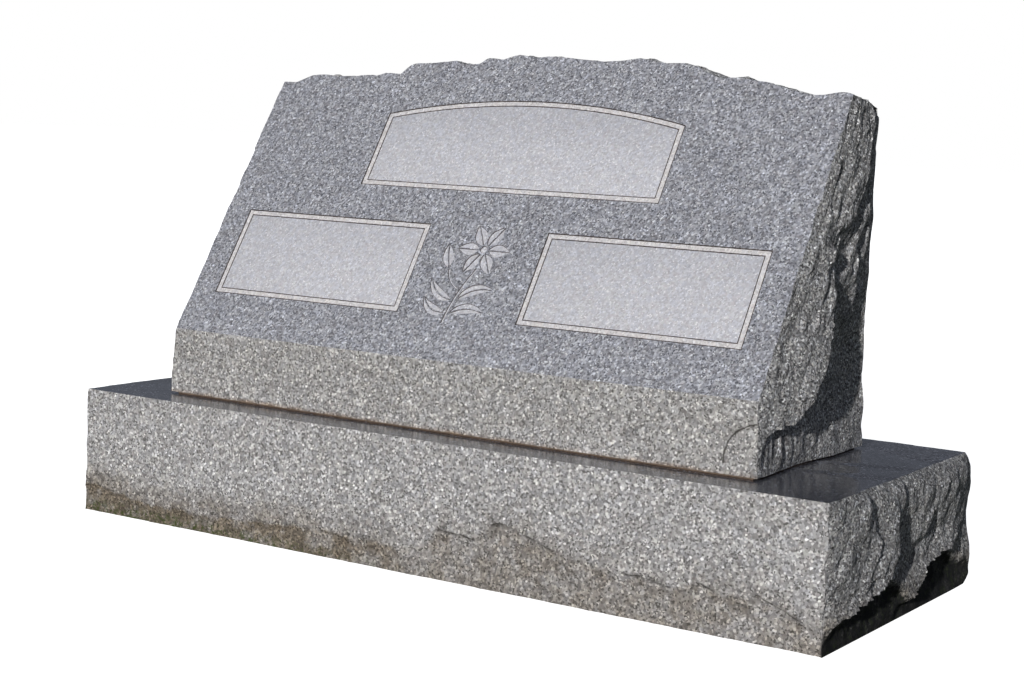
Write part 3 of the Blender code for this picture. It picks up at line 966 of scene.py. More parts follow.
def finish_piece(piece: bpy.types.Object, node: str) -> None:
    """Shades a piece, sharp from one angle on, and ties it to its place in the frame.

    Args:
        piece: The finished mesh object.
        node: The frame node that it stands for.
    """
    bpy.ops.object.select_all(action="DESELECT")
    piece.select_set(True)
    bpy.context.view_layer.objects.active = piece
    bpy.ops.object.shade_smooth_by_angle(angle=SHARP_FROM, keep_sharp_edges=True)
    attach(piece, "root")
    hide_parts(node)
    piece.data.calc_loop_triangles()
    log.info("%s: %d triangles", piece.name, len(piece.data.loop_triangles))


def hold_in_box(piece: bpy.types.Object, node: str) -> None:
    """Keeps the corners of a piece within the box of the solid it stands for.

    Args:
        piece: The mesh object.
        node: The solid's node in the frame.
    """
    low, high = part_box(node)
    places = get_places(piece)
    held = np.clip(places, np.array(low), np.array(high))
    moved = np.round(np.abs(held - places).max(axis=0) * 1000, 1)
    log.info("%s held in its box, by %s mm at most", node, moved)
    set_places(piece, held)


def start_box(name: str, low: Vector, high: Vector) -> bpy.types.Object:
    """Adds a box between two corners, with its place in its mesh.

    Args:
        name: The piece's name.
        low: Lowest corner.
        high: Highest corner.

    Returns:
        The new object.
    """
    bpy.ops.object.select_all(action="DESELECT")
    bpy.ops.mesh.primitive_cube_add(size=1.0, location=(low + high) / 2, scale=high - low)
    bpy.ops.object.transform_apply(location=True, rotation=True, scale=True)
    piece = bpy.context.active_object
    piece.name = name
    piece.data.name = name
    return piece


@dataclass
class BaseStone:
    """The long base: flat steeled front, polished top, rock-pitched ends and back."""

    sizes: Sizes = SIZES
    length_cuts: tuple[int, ...] = (16, 24)
    depth_cuts: tuple[int, ...] = (10, 13)
    height_cuts: tuple[int, ...] = (58,)
    end_crests: tuple[Crest, ...] = (
        Crest(
            line=((0.30, 0.17), (0.435, 0.215), (0.55, 0.250), (0.65, 0.272), (0.77, 0.245), (1.00, 0.23)),
            heights=(
                (0.25, 0.0), (0.40, 0.0050), (0.60, 0.0050), (0.75, 0.0030), (0.90, 0.0010), (1.00, 0.0),
            ),
            rise_run=0.050, fall_run=0.006, hollow=0.4,
        ),
        Crest(
            line=(
                (0.08, -0.08), (0.160, -0.02), (0.197, 0.035), (0.22, 0.090), (0.257, 0.135), (0.28, 0.192),
                (0.311, 0.250), (0.343, 0.298), (0.385, 0.325), (0.45, 0.348), (0.593, 0.395), (0.682, 0.385),
                (0.856, 0.400), (1.00, 0.41),
            ),
            heights=(
                (0.00, 0.003), (0.10, 0.009), (0.30, 0.012), (0.50, 0.012), (0.68, 0.006), (0.85, 0.001),
                (1.00, 0.0),
            ),
            rise_run=0.080, fall_run=0.011, hollow=0.5,
        ),
        Crest(
            line=(
                (0.05, 0.46), (0.148, 0.545), (0.184, 0.588), (0.232, 0.608), (0.295, 0.628), (0.333, 0.710),
                (0.364, 0.83), (0.50, 0.93), (0.72, 1.08),
            ),
            heights=((0.00, 0.006), (0.20, 0.010), (0.40, 0.008), (0.60, 0.002), (0.75, 0.0)),
            rise_run=0.080, fall_run=0.010, hollow=0.3,
        ),
    )
    # Upper edge of the undercut foot: (share of depth, share of height)
    end_undercut: Line = (
        (0.00, 0.13), (0.05, 0.183), (0.106, 0.213), (0.15, 0.248), (0.21, 0.273), (0.27, 0.303), (0.315, 0.333),
        (0.36, 0.355), (0.40, 0.345), (0.46, 0.26), (0.525, 0.130), (0.56, 0.135), (0.593, 0.172), (0.631, 0.288),
        (0.691, 0.328), (0.755, 0.333), (0.835, 0.358), (0.92, 0.25), (1.03, 0.15),
    )
    undercut_depth: float = 0.012
    undercut_edge: tuple[float, float] = (-0.004, 0.018)
    foot_reach: float = 0.0045
    # How far the back edge of that end stands out: (share of height, relief)
    end_back_line: Line = (
        (0.0, 0.0035), (0.07, 0.0068), (0.14, 0.0057), (0.22, 0.0079), (0.295, 0.0065), (0.37, 0.0034),
        (0.44, 0.0011), (0.56, -0.0007), (0.67, 0.0001), (0.82, 0.0017), (0.90, 0.0013), (0.97, -0.0014),
        (1.0, -0.004),
    )
    settle_from: float = 0.86
    back_foot: float = 0.004
    # The left-hand end is pitched a little short
    left_short: float = 0.0075
    left_run: float = 0.2
    # The low break across the front: x, height of its upper lip, how sharp the lip is
    lip: tuple[tuple[float, float, float], ...] = (
        (-0.578, 0.043, 0.0), (-0.542, 0.0407, 0.1), (-0.444, 0.0272, 0.2), (-0.350, 0.0283, 0.3),
        (-0.243, 0.0334, 0.4), (-0.123, 0.0408, 0.2), (-0.008, 0.0365, 0.1), (0.028, 0.044, 0.1),
        (0.046, 0.064, 0.5), (0.053, 0.0660, 1.0), (0.0775, 0.0652, 1.0), (0.102, 0.0627, 0.8),
        (0.110, 0.070, 0.3), (0.125, 0.083, 0.5), (0.134, 0.0873, 1.0), (0.147, 0.0881, 1.0),
        (0.161, 0.0844, 1.0), (0.180, 0.0786, 1.0), (0.202, 0.0709, 1.0), (0.214, 0.0677, 0.8),
        (0.250, 0.062, 0.1), (0.312, 0.055, 0.3), (0.325, 0.0540, 1.0), (0.3425, 0.0545, 1.0),
        (0.376, 0.0488, 1.0), (0.393, 0.051, 0.2), (0.412, 0.0607, 0.4), (0.422, 0.0607, 0.8),
        (0.438, 0.0539, 0.8), (0.455, 0.054, 0.1), (0.486, 0.0570, 0.5), (0.495, 0.0569, 1.0),
        (0.527, 0.0462, 1.0), (0.537, 0.0421, 0.9), (0.578, 0.030, 0.2),
    )
    lip_depth: float = 0.0036
    lip_drop: float = 0.0012
    lip_row: int = 17
    lip_ragged: float = 0.0016
    lip_ripple: float = 0.014
    # A blunt lip falls over this many more drops than a sharp one
    lip_blunt: float = 14.0
    break_run: float = 0.030
    break_depth: float = 0.0008
    # Width of the thin dark line painted just under the lip, which stands for the lip's shadow
    shade_line_width: float = 0.0013
    # How far above the lip the stone is stained, and how strongly there
    stain_rise: float = 0.045
    stain_share: float = 0.45
    # Deepest recess of the front, within which a face still counts as steeled
    front_depth: float = 0.0075

    def below_ridges(self, y: np.ndarray, z: np.ndarray) -> np.ndarray:
        """How far a point of the right-hand end lies below the upper edge of its undercut foot."""
        edge = np.interp(y / self.sizes.base_depth, *zip(*self.end_undercut))
        return edge * self.sizes.base_height - z

    def right_end(self, y: np.ndarray, z: np.ndarray) -> np.ndarray:
        """Relief of the right-hand end: three leaning ridges above an undercut foot.

        Args:
            y: Distances behind the front.
            z: Heights.

        Returns:
            How far each point stands out.
        """
        depth, height = self.sizes.base_depth, self.sizes.base_height
        form = np.zeros_like(y)
        for crest in self.end_crests:
            form += crest.relief(y / depth, z / height, depth)
        form = form - self.undercut_depth * smooth_step(self.below_ridges(y, z), *self.undercut_edge)
        edges = [(y, PITCHING.end_run), (height - z, PITCHING.corner_run)]
        reach = self.foot_reach * y / depth
        out = PITCHING.relief(y - 0.6 * z, z + 0.3 * y, edges, 11, form, z, reach, PITCHING.end_calm)
        return PITCHING.settle(out, y / depth, z / height, self.end_back_line, self.settle_from)

    def back_face(self, x: np.ndarray, z: np.ndarray) -> np.ndarray:
        """Relief of the back, which runs on over the right-hand corner."""
        size = self.sizes
        edges = [(x + size.base_length / 2, PITCHING.corner_run), (size.base_height - z, PITCHING.run)]
        return PITCHING.relief(x + 0.3 * z, z, edges, 31, 0.0, z, self.back_foot)

    def rock_ends(self, rest: np.ndarray) -> np.ndarray:
        """Relief of both ends, outwards.

        Args:
            rest: Corner positions of the box, front on y = 0.

        Returns:
            The shift along x of each corner.
        """
        length, depth, height = self.sizes.base_length, self.sizes.base_depth, self.sizes.base_height
        x, y, z = rest.T
        edges = [(y, PITCHING.run), (depth - y, PITCHING.run), (height - z, PITCHING.corner_run)]
        left = np.where(x < -length / 2 + NEAR, PITCHING.relief(y + 0.3 * z, z, edges, 23, 0.0, z), 0)
        return PITCHING.turn(self.right_end(y, z), length / 2 - x, y > depth - NEAR) - left

    def rock_back(self, rest: np.ndarray) -> np.ndarray:
        """Relief of the back, as the shift along y of each corner."""
        x, y, z = rest.T
        right = x > self.sizes.base_length / 2 - NEAR
        return PITCHING.turn(self.back_face(x, z), self.sizes.base_depth - y, right)

    def lip_level(self, x: np.ndarray) -> np.ndarray:
        """Height of the ragged lip of the break."""
        at, level, _ = zip(*self.lip)
        return np.interp(x, at, level) + self.lip_ragged * PITCHING.edge_ripple(x, self.lip_ripple, 91)

    def follow_lip(self, rest: np.ndarray) -> np.ndarray:
        """Slides the rows of the front up or down so that one row runs along the lip of the break.

        Args:
            rest: Corner positions of the box, front on y = 0.

        Returns:
            The new height of each corner.
        """
        x, y, z = rest.T
        height = self.sizes.base_height
        pitch = height / self.height_cuts[0]
        row = self.lip_row * pitch
        lip = self.lip_level(x)
        under = lip - self.lip_drop
        low = z / (row - pitch) * under
        high = lip + (z - row) / (height - row) * (height - lip)
        slid = np.where(z > row - NEAR, high, np.where(z > row - pitch - NEAR, under, low))
        return np.where(y < NEAR, slid, z)

    def front_break(self, rest: np.ndarray) -> tuple[np.ndarray, np.ndarray, np.ndarray]:
        """The shallow break along the front's foot.

        Args:
            rest: Corner positions of the box after its rows follow the lip, front on y = 0.

        Returns:
            How far each corner sits back, its share of the broken band and its share of the dark line of painted
            shade under the lip.
        """
        x, y, z = rest.T
        at, _, sharp = zip(*self.lip)
        below, edge = self.lip_level(x) - z, np.interp(x, at, sharp)
        step = np.clip(below / (self.lip_drop * (1 + self.lip_blunt * (1 - edge))), 0, 1)
        fade = np.exp(-np.maximum(below, 0) / self.break_run)
        rough = 0.0012 * PITCHING.flakes(x, z, 0.030, 93, 40.0)
        rough = rough + 0.0005 * PITCHING.flakes(x, z, 0.012, 94, 40.0)
        recess = self.lip_depth * step * (0.25 + 0.75 * edge) * (0.35 + 0.65 * fade)
        recess = recess + np.clip(below / 0.008, 0, 1) * (self.break_depth + rough)
        front = y < NEAR
        side = np.clip((self.sizes.base_length / 2 - np.abs(x)) / 0.004, 0, 1)
        stained = self.stain_share * smooth_step(below, -self.stain_rise, 0.0)
        band = np.maximum(np.clip(below / 0.010 + 0.25, 0, 1), stained)
        broken = 0.90 + 0.25 * PITCHING.edge_ripple(x, 0.012, 96, 0.03)
        # A thin dark line just under the lip, painted shade for the shadow that the lip throws
        line = np.exp(-np.square((below - self.lip_drop) / self.shade_line_width))
        shade_line = smooth_step(edge, 0.55, 0.85) * broken * line
        recess = np.maximum(recess, 0) * side
        return tuple(np.where(front, values, 0) for values in (recess, band, shade_line))

    def build(self, materials: Sequence[bpy.types.Material]) -> bpy.types.Object:
        """Models the base.

        Args:
            materials: One per finish, in the order of BaseSurface.

        Returns:
            The finished object.
        """
        size = self.sizes
        half, height = size.base_length / 2, size.base_height
        far = Vector((half, size.base_depth, height))
        piece = start_box("base_stone_dressed", Vector((-half, 0, 0)), far)
        with EditMode(piece):
            pick_faces(piece, lambda face: abs(face.normal.z) > 0.9)
            bpy.ops.mesh.delete(type="FACE")
            cut_along(piece, 0, self.length_cuts)
            cut_along(piece, 1, self.depth_cuts)
            cut_along(piece, 2, self.height_cuts)
        rest = get_places(piece)
        rest[:, 2] = self.follow_lip(rest)
        moved = rest.copy()
        moved[:, 0] += self.rock_ends(rest)
        moved[:, 1] += self.rock_back(rest)
        recess, band, shade_line = self.front_break(rest)
        moved[:, 1] += recess
        moved[:, 0] += self.left_short * np.clip(1 - (rest[:, 0] + half) / self.left_run, 0, 1)
        self.paint_weather(piece, rest, band)
        # Painted shade line under the lip
        paint_mask(piece, "shade_line", shade_line)
        moved[:, 1] += size.base_front
        set_places(piece, moved)
        hold_in_box(piece, "base_stone")
        for material in materials:
            piece.data.materials.append(material)
        with EditMode(piece):
            for level in (0.0, height):
                pick_edges(
                    piece, lambda one, two: max(abs(one.z - level), abs(two.z - level)) < NEAR, loose=True
                )
                bpy.ops.mesh.edge_face_add()
            bpy.ops.mesh.select_all(action="SELECT")
            bpy.ops.mesh.normals_make_consistent(inside=False)
        self.dress(piece)
        finish_piece(piece, "base_stone")
        return piece

    def paint_weather(self, piece: bpy.types.Object, rest: np.ndarray, band: np.ndarray) -> None:
        """Marks where the stone is damp, where moss grows at its foot, and paints the undercut foot under its
        ridges near-black, as dark dirt and painted shade.

        Args:
            piece: The base.
            rest: Corner positions of the box after its rows follow the lip.
            band: Each corner's share of the broken band.
        """
        x, y, z = rest.T
        front, end = y < NEAR, x > self.sizes.base_length / 2 - NEAR
        elsewhere = 0.85 * (1 - smooth_step(z, 0.015, 0.080))
        left = 1 - smooth_step(x, -0.40, 0.10)
        paint_mask(piece, "damp", np.where(front, band * (0.70 + 0.90 * left), elsewhere))
        low = 1 - smooth_step(z, 0.003, 0.025 - 0.010 * np.clip((x + 0.5) / 0.6, 0, 1))
        paint_mask(piece, "moss", np.where(front, low * left, 0.25 * low))
        # The undercut foot of the right-hand end is painted near-black: partly dirt, partly painted shade
        ragged = 0.005 * PITCHING.flakes(y, z, 0.011, 97) + 0.003 * PITCHING.flakes(y, z, 0.006, 98)
        hidden = smooth_step(self.below_ridges(y, z) + ragged, -0.001, 0.008)
        paint_mask(piece, "soil_and_shade", np.where(end, hidden, 0))

    def dress(self, piece: bpy.types.Object) -> None:
        """Gives each face of the base its finish.

        Args:
            piece: The base.
        """
        steeled_to = self.sizes.base_front + self.front_depth
        corners = piece.data.vertices
        for face in piece.data.polygons:
            surface = BaseSurface.PITCHED
            if face.normal.z > 0.999 and face.center.z > self.sizes.base_height - NEAR * 10:
                surface = BaseSurface.POLISHED
            elif face.normal.z < -0.999 and face.center.z < NEAR * 10:
                surface = BaseSurface.UNDERSIDE
            elif abs(face.normal.y) > 0.5 and all(corners[v].co.y < steeled_to for v in face.vertices):
                surface = BaseSurface.STEELED
            face.material_index = surface.value


@dataclass
class SettingBed:
    """The thin bed of compound between the stones."""

    sizes: Sizes = SIZES
    rim: float = 0.006
    wobble: float = 0.0012
    ripple: float = 0.02

    def build(self, material: bpy.types.Material) -> bpy.types.Object:
        """Models the bed, with a slightly uneven rim.

        Args:
            material: The compound's finish.

        Returns:
            The finished object.
        """
        size = self.sizes
        half = size.tablet_length / 2 - size.bed_setback
        low_z = size.base_height + size.contact_gap
        low = Vector((-half, size.tablet_front + size.bed_setback, low_z))
        back = size.tablet_front + size.tablet_depth - size.bed_setback
        high = Vector((half, back, low_z + size.bed_thickness))
        piece = start_box("setting_bed_dressed", low, high)
        with EditMode(piece):
            pick_faces(piece, lambda face: abs(face.normal.z) > 0.9)
            bpy.ops.mesh.inset(thickness=self.rim, depth=0)
            cut_along(piece, 0, (10, 9))
            cut_along(piece, 1, (32,))
        places = get_places(piece)
        x, y, _ = places.T
        outer = (np.abs(np.abs(x) - half) < NEAR) | (y < low.y + NEAR) | (y > high.y - NEAR)
        wobble = self.wobble * (1 + PITCHING.flakes(x + 3, y + 3, self.ripple, 131)) / 2
        middle = np.array([0.0, (low.y + high.y) / 2, 0.0])
        inward = np.sign(middle - places) * np.array([1.0, 1.0, 0.0])
        set_places(piece, places + inward * (wobble * outer)[:, None])
        piece.data.materials.append(material)
        finish_piece(piece, "setting_bed")
        return piece


@dataclass
class Panel:
    """A frosted field in a blasted border, sunk in the slant face. Measured up the slope from the nosing."""

    left: float
    right: float
    low: float
    high: float
    arch: float = 0.0

    def outline(self, steps: int = 48) -> Outline:
        """Corners of the panel, anticlockwise.

        Args:
            steps: Parts of the arch, where there is one.

        Returns:
            The outline.
        """
        corners = [(self.left, self.low), (self.right, self.low)]
        if not self.arch:
            return corners + [(self.right, self.high), (self.left, self.high)]
        middle, half = (self.left + self.right) / 2, (self.right - self.left) / 2
        along = np.linspace(self.right, self.left, steps + 1)
        return corners + list(zip(along, self.high + arc_rise(along - middle, half, self.arch)))


@dataclass
class FlowerSpray:
    """A bloom on a curved stem, with leaves and a bud. Shares of its height, from the middle of its foot."""

    height: float = 0.150
    foot: tuple[float, float] = (-0.0085, 0.054)
    line: float = 0.0013
    bloom: tuple[float, float] = (0.09, 0.755)
    radius: float = 0.275
    eye: float = 0.035
    petals: int = 6
    petal_width: float = 0.118
    # Foot, head and bend
    stem: tuple = ((-0.06, 0.00), (0.09, 0.56), 0.03)
    twig: tuple = ((-0.030, 0.350), (-0.193, 0.535), 0.03)
    stem_width: float = 0.022
    twig_share: float = 0.8
    taper: float = 0.25
    steps: int = 12
    eye_corners: int = 24
    # Leaves and bud: foot, tip, half width and bend
    blades: tuple = (
        ((-0.075, 0.115), (-0.345, 0.245), 0.046, 0.05),
        ((-0.026, 0.105), (0.330, 0.130), 0.046, 0.05),
        ((-0.054, 0.240), (-0.340, 0.440), 0.044, 0.05),
        ((0.000, 0.250), (0.345, 0.365), 0.048, 0.05),
        ((-0.206, 0.552), (-0.290, 0.790), 0.052, 0.01),
    )

    def bent_line(
        self, start: Sequence[float], end: Sequence[float], bend: float, share: float
    ) -> tuple[Vector, Vector]:
        """Point and unit normal on a line that is bowed sideways.

        Args:
            start: Where the line starts, as shares.
            end: Where it ends.
            bend: How far it is bowed.
            share: How far along the point is, 0 to 1.

        Returns:
            The point in metres, and the normal.
        """
        run = Vector(end) - Vector(start)
        across = Vector((-run.y, run.x)).normalized()
        point = Vector(start) + run * share + across * (4 * bend * share * (1 - share))
        slope = (run + across * (4 * bend * (1 - 2 * share))).normalized()
        return point * self.height, Vector((-slope.y, slope.x))

    def half_blade(
        self, start: Sequence[float], end: Sequence[float], width: float, bend: float, side: int
    ) -> Outline:
        """Outline of one half of a leaf or petal, clear of its midrib by half a line.

        Args:
            start: The blade's foot, as shares.
            end: Its tip.
            width: Its half width.
            bend: How far it is bowed.
            side: 1 for the half on its left, -1 for the other.

        Returns:
            The outline in metres.
        """
        rib, edge = [], []
        for step in range(self.steps + 1):
            share = step / self.steps
            point, across = self.bent_line(start, end, bend, share)
            swell = math.sin(math.pi * share**0.85)
            rib.append(point + across * side * self.line / 2)
            edge.append(point + across * side * (self.line / 2 + swell * width * self.height))
        if not bend:
            rib = [rib[0], rib[-1]]
        return [tuple(point) for point in rib + edge[-2:0:-1]]

    def strip(self, start: Sequence[float], end: Sequence[float], bend: float, width: float) -> Outline:
        """Outline of a stem that thins a little towards its end.

        Args:
            start: The stem's foot, as shares.
            end: Its head.
            bend: How far it is bowed.
            width: Its width at the foot.

        Returns:
            The outline in metres.
        """
        near, far = [], []
        for step in range(self.steps + 1):
            point, across = self.bent_line(start, end, bend, step / self.steps)
            half = width * self.height / 2 * (1 - self.taper * step / self.steps)
            near.append(tuple(point + across * half))
            far.append(tuple(point - across * half))
        return near + far[::-1]

    def outlines(self) -> list[Outline]:
        """Outlines of all the sunk parts, on the slant face.

        Returns:
            The outlines: eye, stem, twig, petals, then leaves and bud.
        """
        centre = Vector(self.bloom)

        def ray(turn: float) -> Vector:
            """Direction at an angle from level."""
            return Vector((math.cos(turn), math.sin(turn)))

        turns = np.linspace(0, 2 * math.pi, self.eye_corners, endpoint=False)
        parts = [[tuple((centre + self.eye * ray(turn)) * self.height) for turn in turns]]
        parts.append(self.strip(*self.stem, self.stem_width))
        parts.append(self.strip(*self.twig, self.stem_width * self.twig_share))
        clear = self.eye + 1.5 * self.line / self.height
        rays = [ray(petal * 2 * math.pi / self.petals) for petal in range(self.petals)]
        half = self.petal_width / 2
        petals = [(centre + out * clear, centre + out * self.radius, half, 0.0) for out in rays]
        for blade in petals + list(self.blades):
            parts += [self.half_blade(*blade, side) for side in (-1, 1)]
        return [[(x + self.foot[0], y + self.foot[1]) for x, y in points] for points in parts]


@dataclass
class SlantTablet:
    """The crowned tablet: polished slant face with panels, steeled nosing, rock-pitched ends, back, top."""

    sizes: Sizes = SIZES
    length_cuts: tuple[int, ...] = (16, 15)
    depth_cuts: tuple[int, ...] = (8, 12)
    nosing_cuts: tuple[int, ...] = (28,)
    slant_cuts: tuple[int, ...] = (10, 11)
    band_width: float = 0.009
    line_width: float = 0.0015
    line_depth: float = 0.0014
    band_depth: float = 0.0006
    field_depth: float = 0.0008
    flower_bevel: float = 0.00045
    flower_depth: float = 0.0011
    # Panels: distances from the tablet's ends, between them, and up the slope from the nosing
    panel_margin: float = 0.0429
    panel_spacing: float = 0.187
    panel_low: float = 0.0633
    panel_high: float = 0.2004
    family_half: float = 0.238
    family_gap: float = 0.0540
    family_margin: float = 0.0497
    family_arch: float = 0.0286
    # Breaks of the top arris: (share of the half length, rise up the slope)
    top_breaks: Line = (
        (-1.00, -0.0020), (-0.945, -0.0080), (-0.89, -0.0002), (-0.83, -0.0038), (-0.79, -0.0101),
        (-0.72, -0.0142), (-0.65, -0.0165), (-0.63, -0.0188), (-0.60, -0.0152), (-0.54, -0.0204),
        (-0.52, -0.0070), (-0.495, -0.0034), (-0.43, -0.0060), (-0.35, -0.0045), (-0.315, -0.0117),
        (-0.255, -0.0113), (-0.235, -0.0027), (-0.175, -0.0055), (-0.125, 0.0028), (-0.06, -0.0035),
        (-0.02, 0.0000), (0.08, -0.0028), (0.18, -0.0052), (0.25, -0.0010), (0.295, 0.0044),
        (0.38, 0.0004), (0.455, 0.0042), (0.49, 0.0017), (0.52, -0.0038), (0.58, -0.0112),
        (0.63, -0.0063), (0.73, -0.0050), (0.84, -0.0103), (0.87, -0.0103), (0.91, -0.0053),
        (0.955, 0.0038), (0.98, 0.0061), (1.00, 0.0054),
    )
    top_run: float = 0.06
    top_fall: float = 0.006
    top_even: float = 0.15
    top_calm: float = 0.35
    corner_fall: float = 0.009
    corner_from: float = 0.84
    left_flare: float = 0.0058
    left_flare_height: float = 0.045
    left_flare_run: float = 0.06
    end_crests: tuple[Crest, ...] = (
        Crest(
            line=(
                (0.00, 0.00), (0.065, 0.02), (0.105, 0.05), (0.122, 0.11), (0.126, 0.20), (0.158, 0.25),
                (0.187, 0.305), (0.213, 0.325), (0.250, 0.377), (0.290, 0.420), (0.343, 0.462), (0.397, 0.505),
                (0.505, 0.536), (0.56, 0.546), (0.614, 0.575), (0.655, 0.66), (0.70, 0.76), (0.75, 0.80),
                (0.84, 0.838), (1.10, 0.90),
            ),
            heights=(
                (0.00, 0.004), (0.10, 0.012), (0.13, 0.022), (0.20, 0.029), (0.31, 0.027), (0.40, 0.015),
                (0.52, 0.008), (0.60, 0.006), (0.67, 0.004), (0.75, 0.006), (0.90, 0.003), (1.00, 0.0),
            ),
            rise_run=0.115, fall_run=0.016, hollow=0.75,
        ),
        Crest(
            line=((0.10, 0.92), (0.25, 0.88), (0.35, 0.815), (0.58, 0.806), (0.70, 0.88)),
            heights=((0.33, 0.0), (0.40, 0.004), (0.54, 0.004), (0.64, 0.002), (0.72, 0.0)),
            rise_run=0.045, fall_run=0.012, hollow=0.5,
        ),
    )
    end_settle: float = 0.004
    end_foot_run: float = 0.035
    # How far its foot stands out: (share of depth, relief), and its back edge: (share of height, relief)
    end_foot_line: Line = (
        (0.0, 0.003), (0.12, 0.002), (0.38, -0.003), (0.50, -0.002), (0.69, 0.0045), (0.82, 0.0035),
        (1.0, 0.001),
    )
    end_back_line: Line = (
        (0.0, 0.004), (0.03, 0.0040), (0.06, 0.0016), (0.13, 0.0038), (0.17, 0.0015), (0.20, -0.0016),
        (0.27, -0.0038), (0.31, -0.0048), (0.34, -0.0034), (0.45, -0.0022), (0.51, -0.0013), (0.59, -0.0028),
        (0.67, -0.0002), (0.73, -0.0023), (0.83, -0.0023), (0.86, -0.0041), (0.93, -0.0013), (0.97, -0.0015),
        (1.0, -0.013),
    )
    settle_from: float = 0.88
    flower: FlowerSpray = field(default_factory=FlowerSpray)

    def panels(self) -> list[Panel]:
        """The two name panels and the arched family panel above them.

        Returns:
            The panels from left to right, then the upper one.
        """
        outer, inner = self.sizes.tablet_length / 2 - self.panel_margin, self.panel_spacing / 2
        low, high = self.panel_low, self.panel_high
        family = (high + self.family_gap, self.sizes.face_height - self.family_margin, self.family_arch)
        return [
            Panel(-outer, -inner, low, high),
            Panel(inner, outer, low, high),
            Panel(-self.family_half, self.family_half, *family),
        ]

    def slant_front(self, z: np.ndarray) -> np.ndarray:
        """How far back the front face lies at height z above the tablet's foot."""
        return np.maximum(z - self.sizes.nosing, 0) / math.tan(self.sizes.slant)

    def section(self, box: np.ndarray) -> np.ndarray:
        """Carries the corners of a plain box to the crowned slant shape.

        Args:
            box: Corner positions of the box, front on y = 0, foot on z = 0.

        Returns:
            Their places on the tablet.
        """
        size = self.sizes
        x, y, z = box.T
        above = np.maximum(z - size.nosing, 0)
        crown = arc_rise(x, size.tablet_length / 2, size.crown_rise)
        height = z + above / (size.shoulder - size.nosing) * crown
        front = self.slant_front(height)
        return np.column_stack([x, front + y / size.tablet_depth * (size.tablet_depth - front), height])

    def streaks(self, q: np.ndarray, w: np.ndarray) -> np.ndarray:
        """Narrow ribs that run up a broken end beside the slant arris.

        Args:
            q: Distance behind the slant arris.
            w: Distance up the slope.

        Returns:
            The relief of the ribs.
        """
        wide = 0.0024 * PITCHING.flakes(q, w * 0.22, 0.018, 47, 20.0)
        narrow = 0.0014 * PITCHING.flakes(q, w * 0.25, 0.010, 48, 16.0)
        return (wide + narrow) * smooth_step(q, 0.0, 0.010) * (1 - 0.7 * smooth_step(q, 0.10, 0.18))

    def right_end(
        self, y: np.ndarray, z: np.ndarray, from_slope: np.ndarray, from_top: np.ndarray
    ) -> np.ndarray:
        """Relief of the right-hand end: a long leaning ridge with a shorter one behind it.

        Args:
            y: Distances behind the front.
            z: Heights above the tablet's foot.
            from_slope: Distances behind the slant arris.
            from_top: Distances below the crown.

        Returns:
            How far each point stands out.
        """
        size = self.sizes
        depth_share, height_share = y / size.tablet_depth, z / size.shoulder
        up_slope = z * math.sin(size.slant) + y * math.cos(size.slant)
        form = np.zeros_like(y)
        for crest in self.end_crests:
            form += crest.relief(depth_share, height_share, size.tablet_depth)
        form = form - self.end_settle
        edges = [(from_slope, PITCHING.end_run), (from_top, PITCHING.corner_run)]
        foot_line = np.interp(depth_share, *zip(*self.end_foot_line))
        foot = (z, foot_line, PITCHING.end_calm, self.end_foot_run)
        relief = PITCHING.relief(from_slope, up_slope, edges, 41, form, *foot)
        relief = relief + self.streaks(from_slope, up_slope) * (1 - np.exp(-z / PITCHING.corner_run))
        return PITCHING.settle(relief, depth_share, height_share, self.end_back_line, self.settle_from)

    def left_end(
        self, y: np.ndarray, z: np.ndarray, from_slope: np.ndarray, from_top: np.ndarray
    ) -> np.ndarray:
        """Relief of the left-hand end, with a low flare at the front.

        Args:
            y: Distances behind the front.
            z: Heights above the tablet's foot.
            from_slope: Distances behind the slant arris.
            from_top: Distances below the crown.

        Returns:
            How far each point stands out.
        """
        from_back = self.sizes.tablet_depth - y
        near = PITCHING.corner_run
        edges = [(from_slope, PITCHING.run), (from_back, near), (from_top, near)]
        low = smooth_step(self.sizes.nosing - z, 0, self.left_flare_height)
        flare = self.left_flare * low * np.exp(-y / self.left_flare_run)
        return PITCHING.relief(y - 0.5 * z, z, edges, 53, 0.0, z) + flare

    def break_top(self, rest: np.ndarray, from_top: np.ndarray, top: np.ndarray) -> np.ndarray:
        """Shift of the corners near the crown: its arris up or down the slope, the top behind it broken.

        Args:
            rest: Corner positions on the smooth tablet.
            from_top: Distances below the crown.
            top: Which corners lie on the top face.

        Returns:
            The shift, one row per corner.
        """
        size = self.sizes
        x, y, z = rest.T
        across, front = x / (size.tablet_length / 2), self.slant_front(z)
        behind = np.clip((y - front) / (size.tablet_depth - front), 0, 1)
        breaks = np.interp(across, *zip(*self.top_breaks)) + 0.0008 * PITCHING.edge_ripple(x, 0.02, 83)
        fall = behind * (self.top_fall + self.corner_fall * smooth_step(across, self.corner_from, 1.0))
        upper = np.exp(-np.maximum(from_top, 0) / self.top_run) * (z > size.nosing + NEAR)
        shift = np.zeros_like(rest)
        shift[:, 1] = upper * breaks * (1 - behind) * math.cos(size.slant)
        shift[:, 2] = upper * (breaks * (1 - self.top_even * behind) * math.sin(size.slant) - fall)
        flakes = PITCHING.flakes(x, y, PITCHING.flake_size / 2, 79)
        coarse = self.top_calm * PITCHING.flake_height * flakes
        fine = 0.0020 * PITCHING.flakes(x, y, 0.018, 80, 22.0)
        fine = fine + 0.0008 * PITCHING.flakes(x, y, 0.008, 81, 16.0)
        shift[:, 2] += np.where(top, (coarse + fine) * np.sin(math.pi * behind), 0)
        return shift

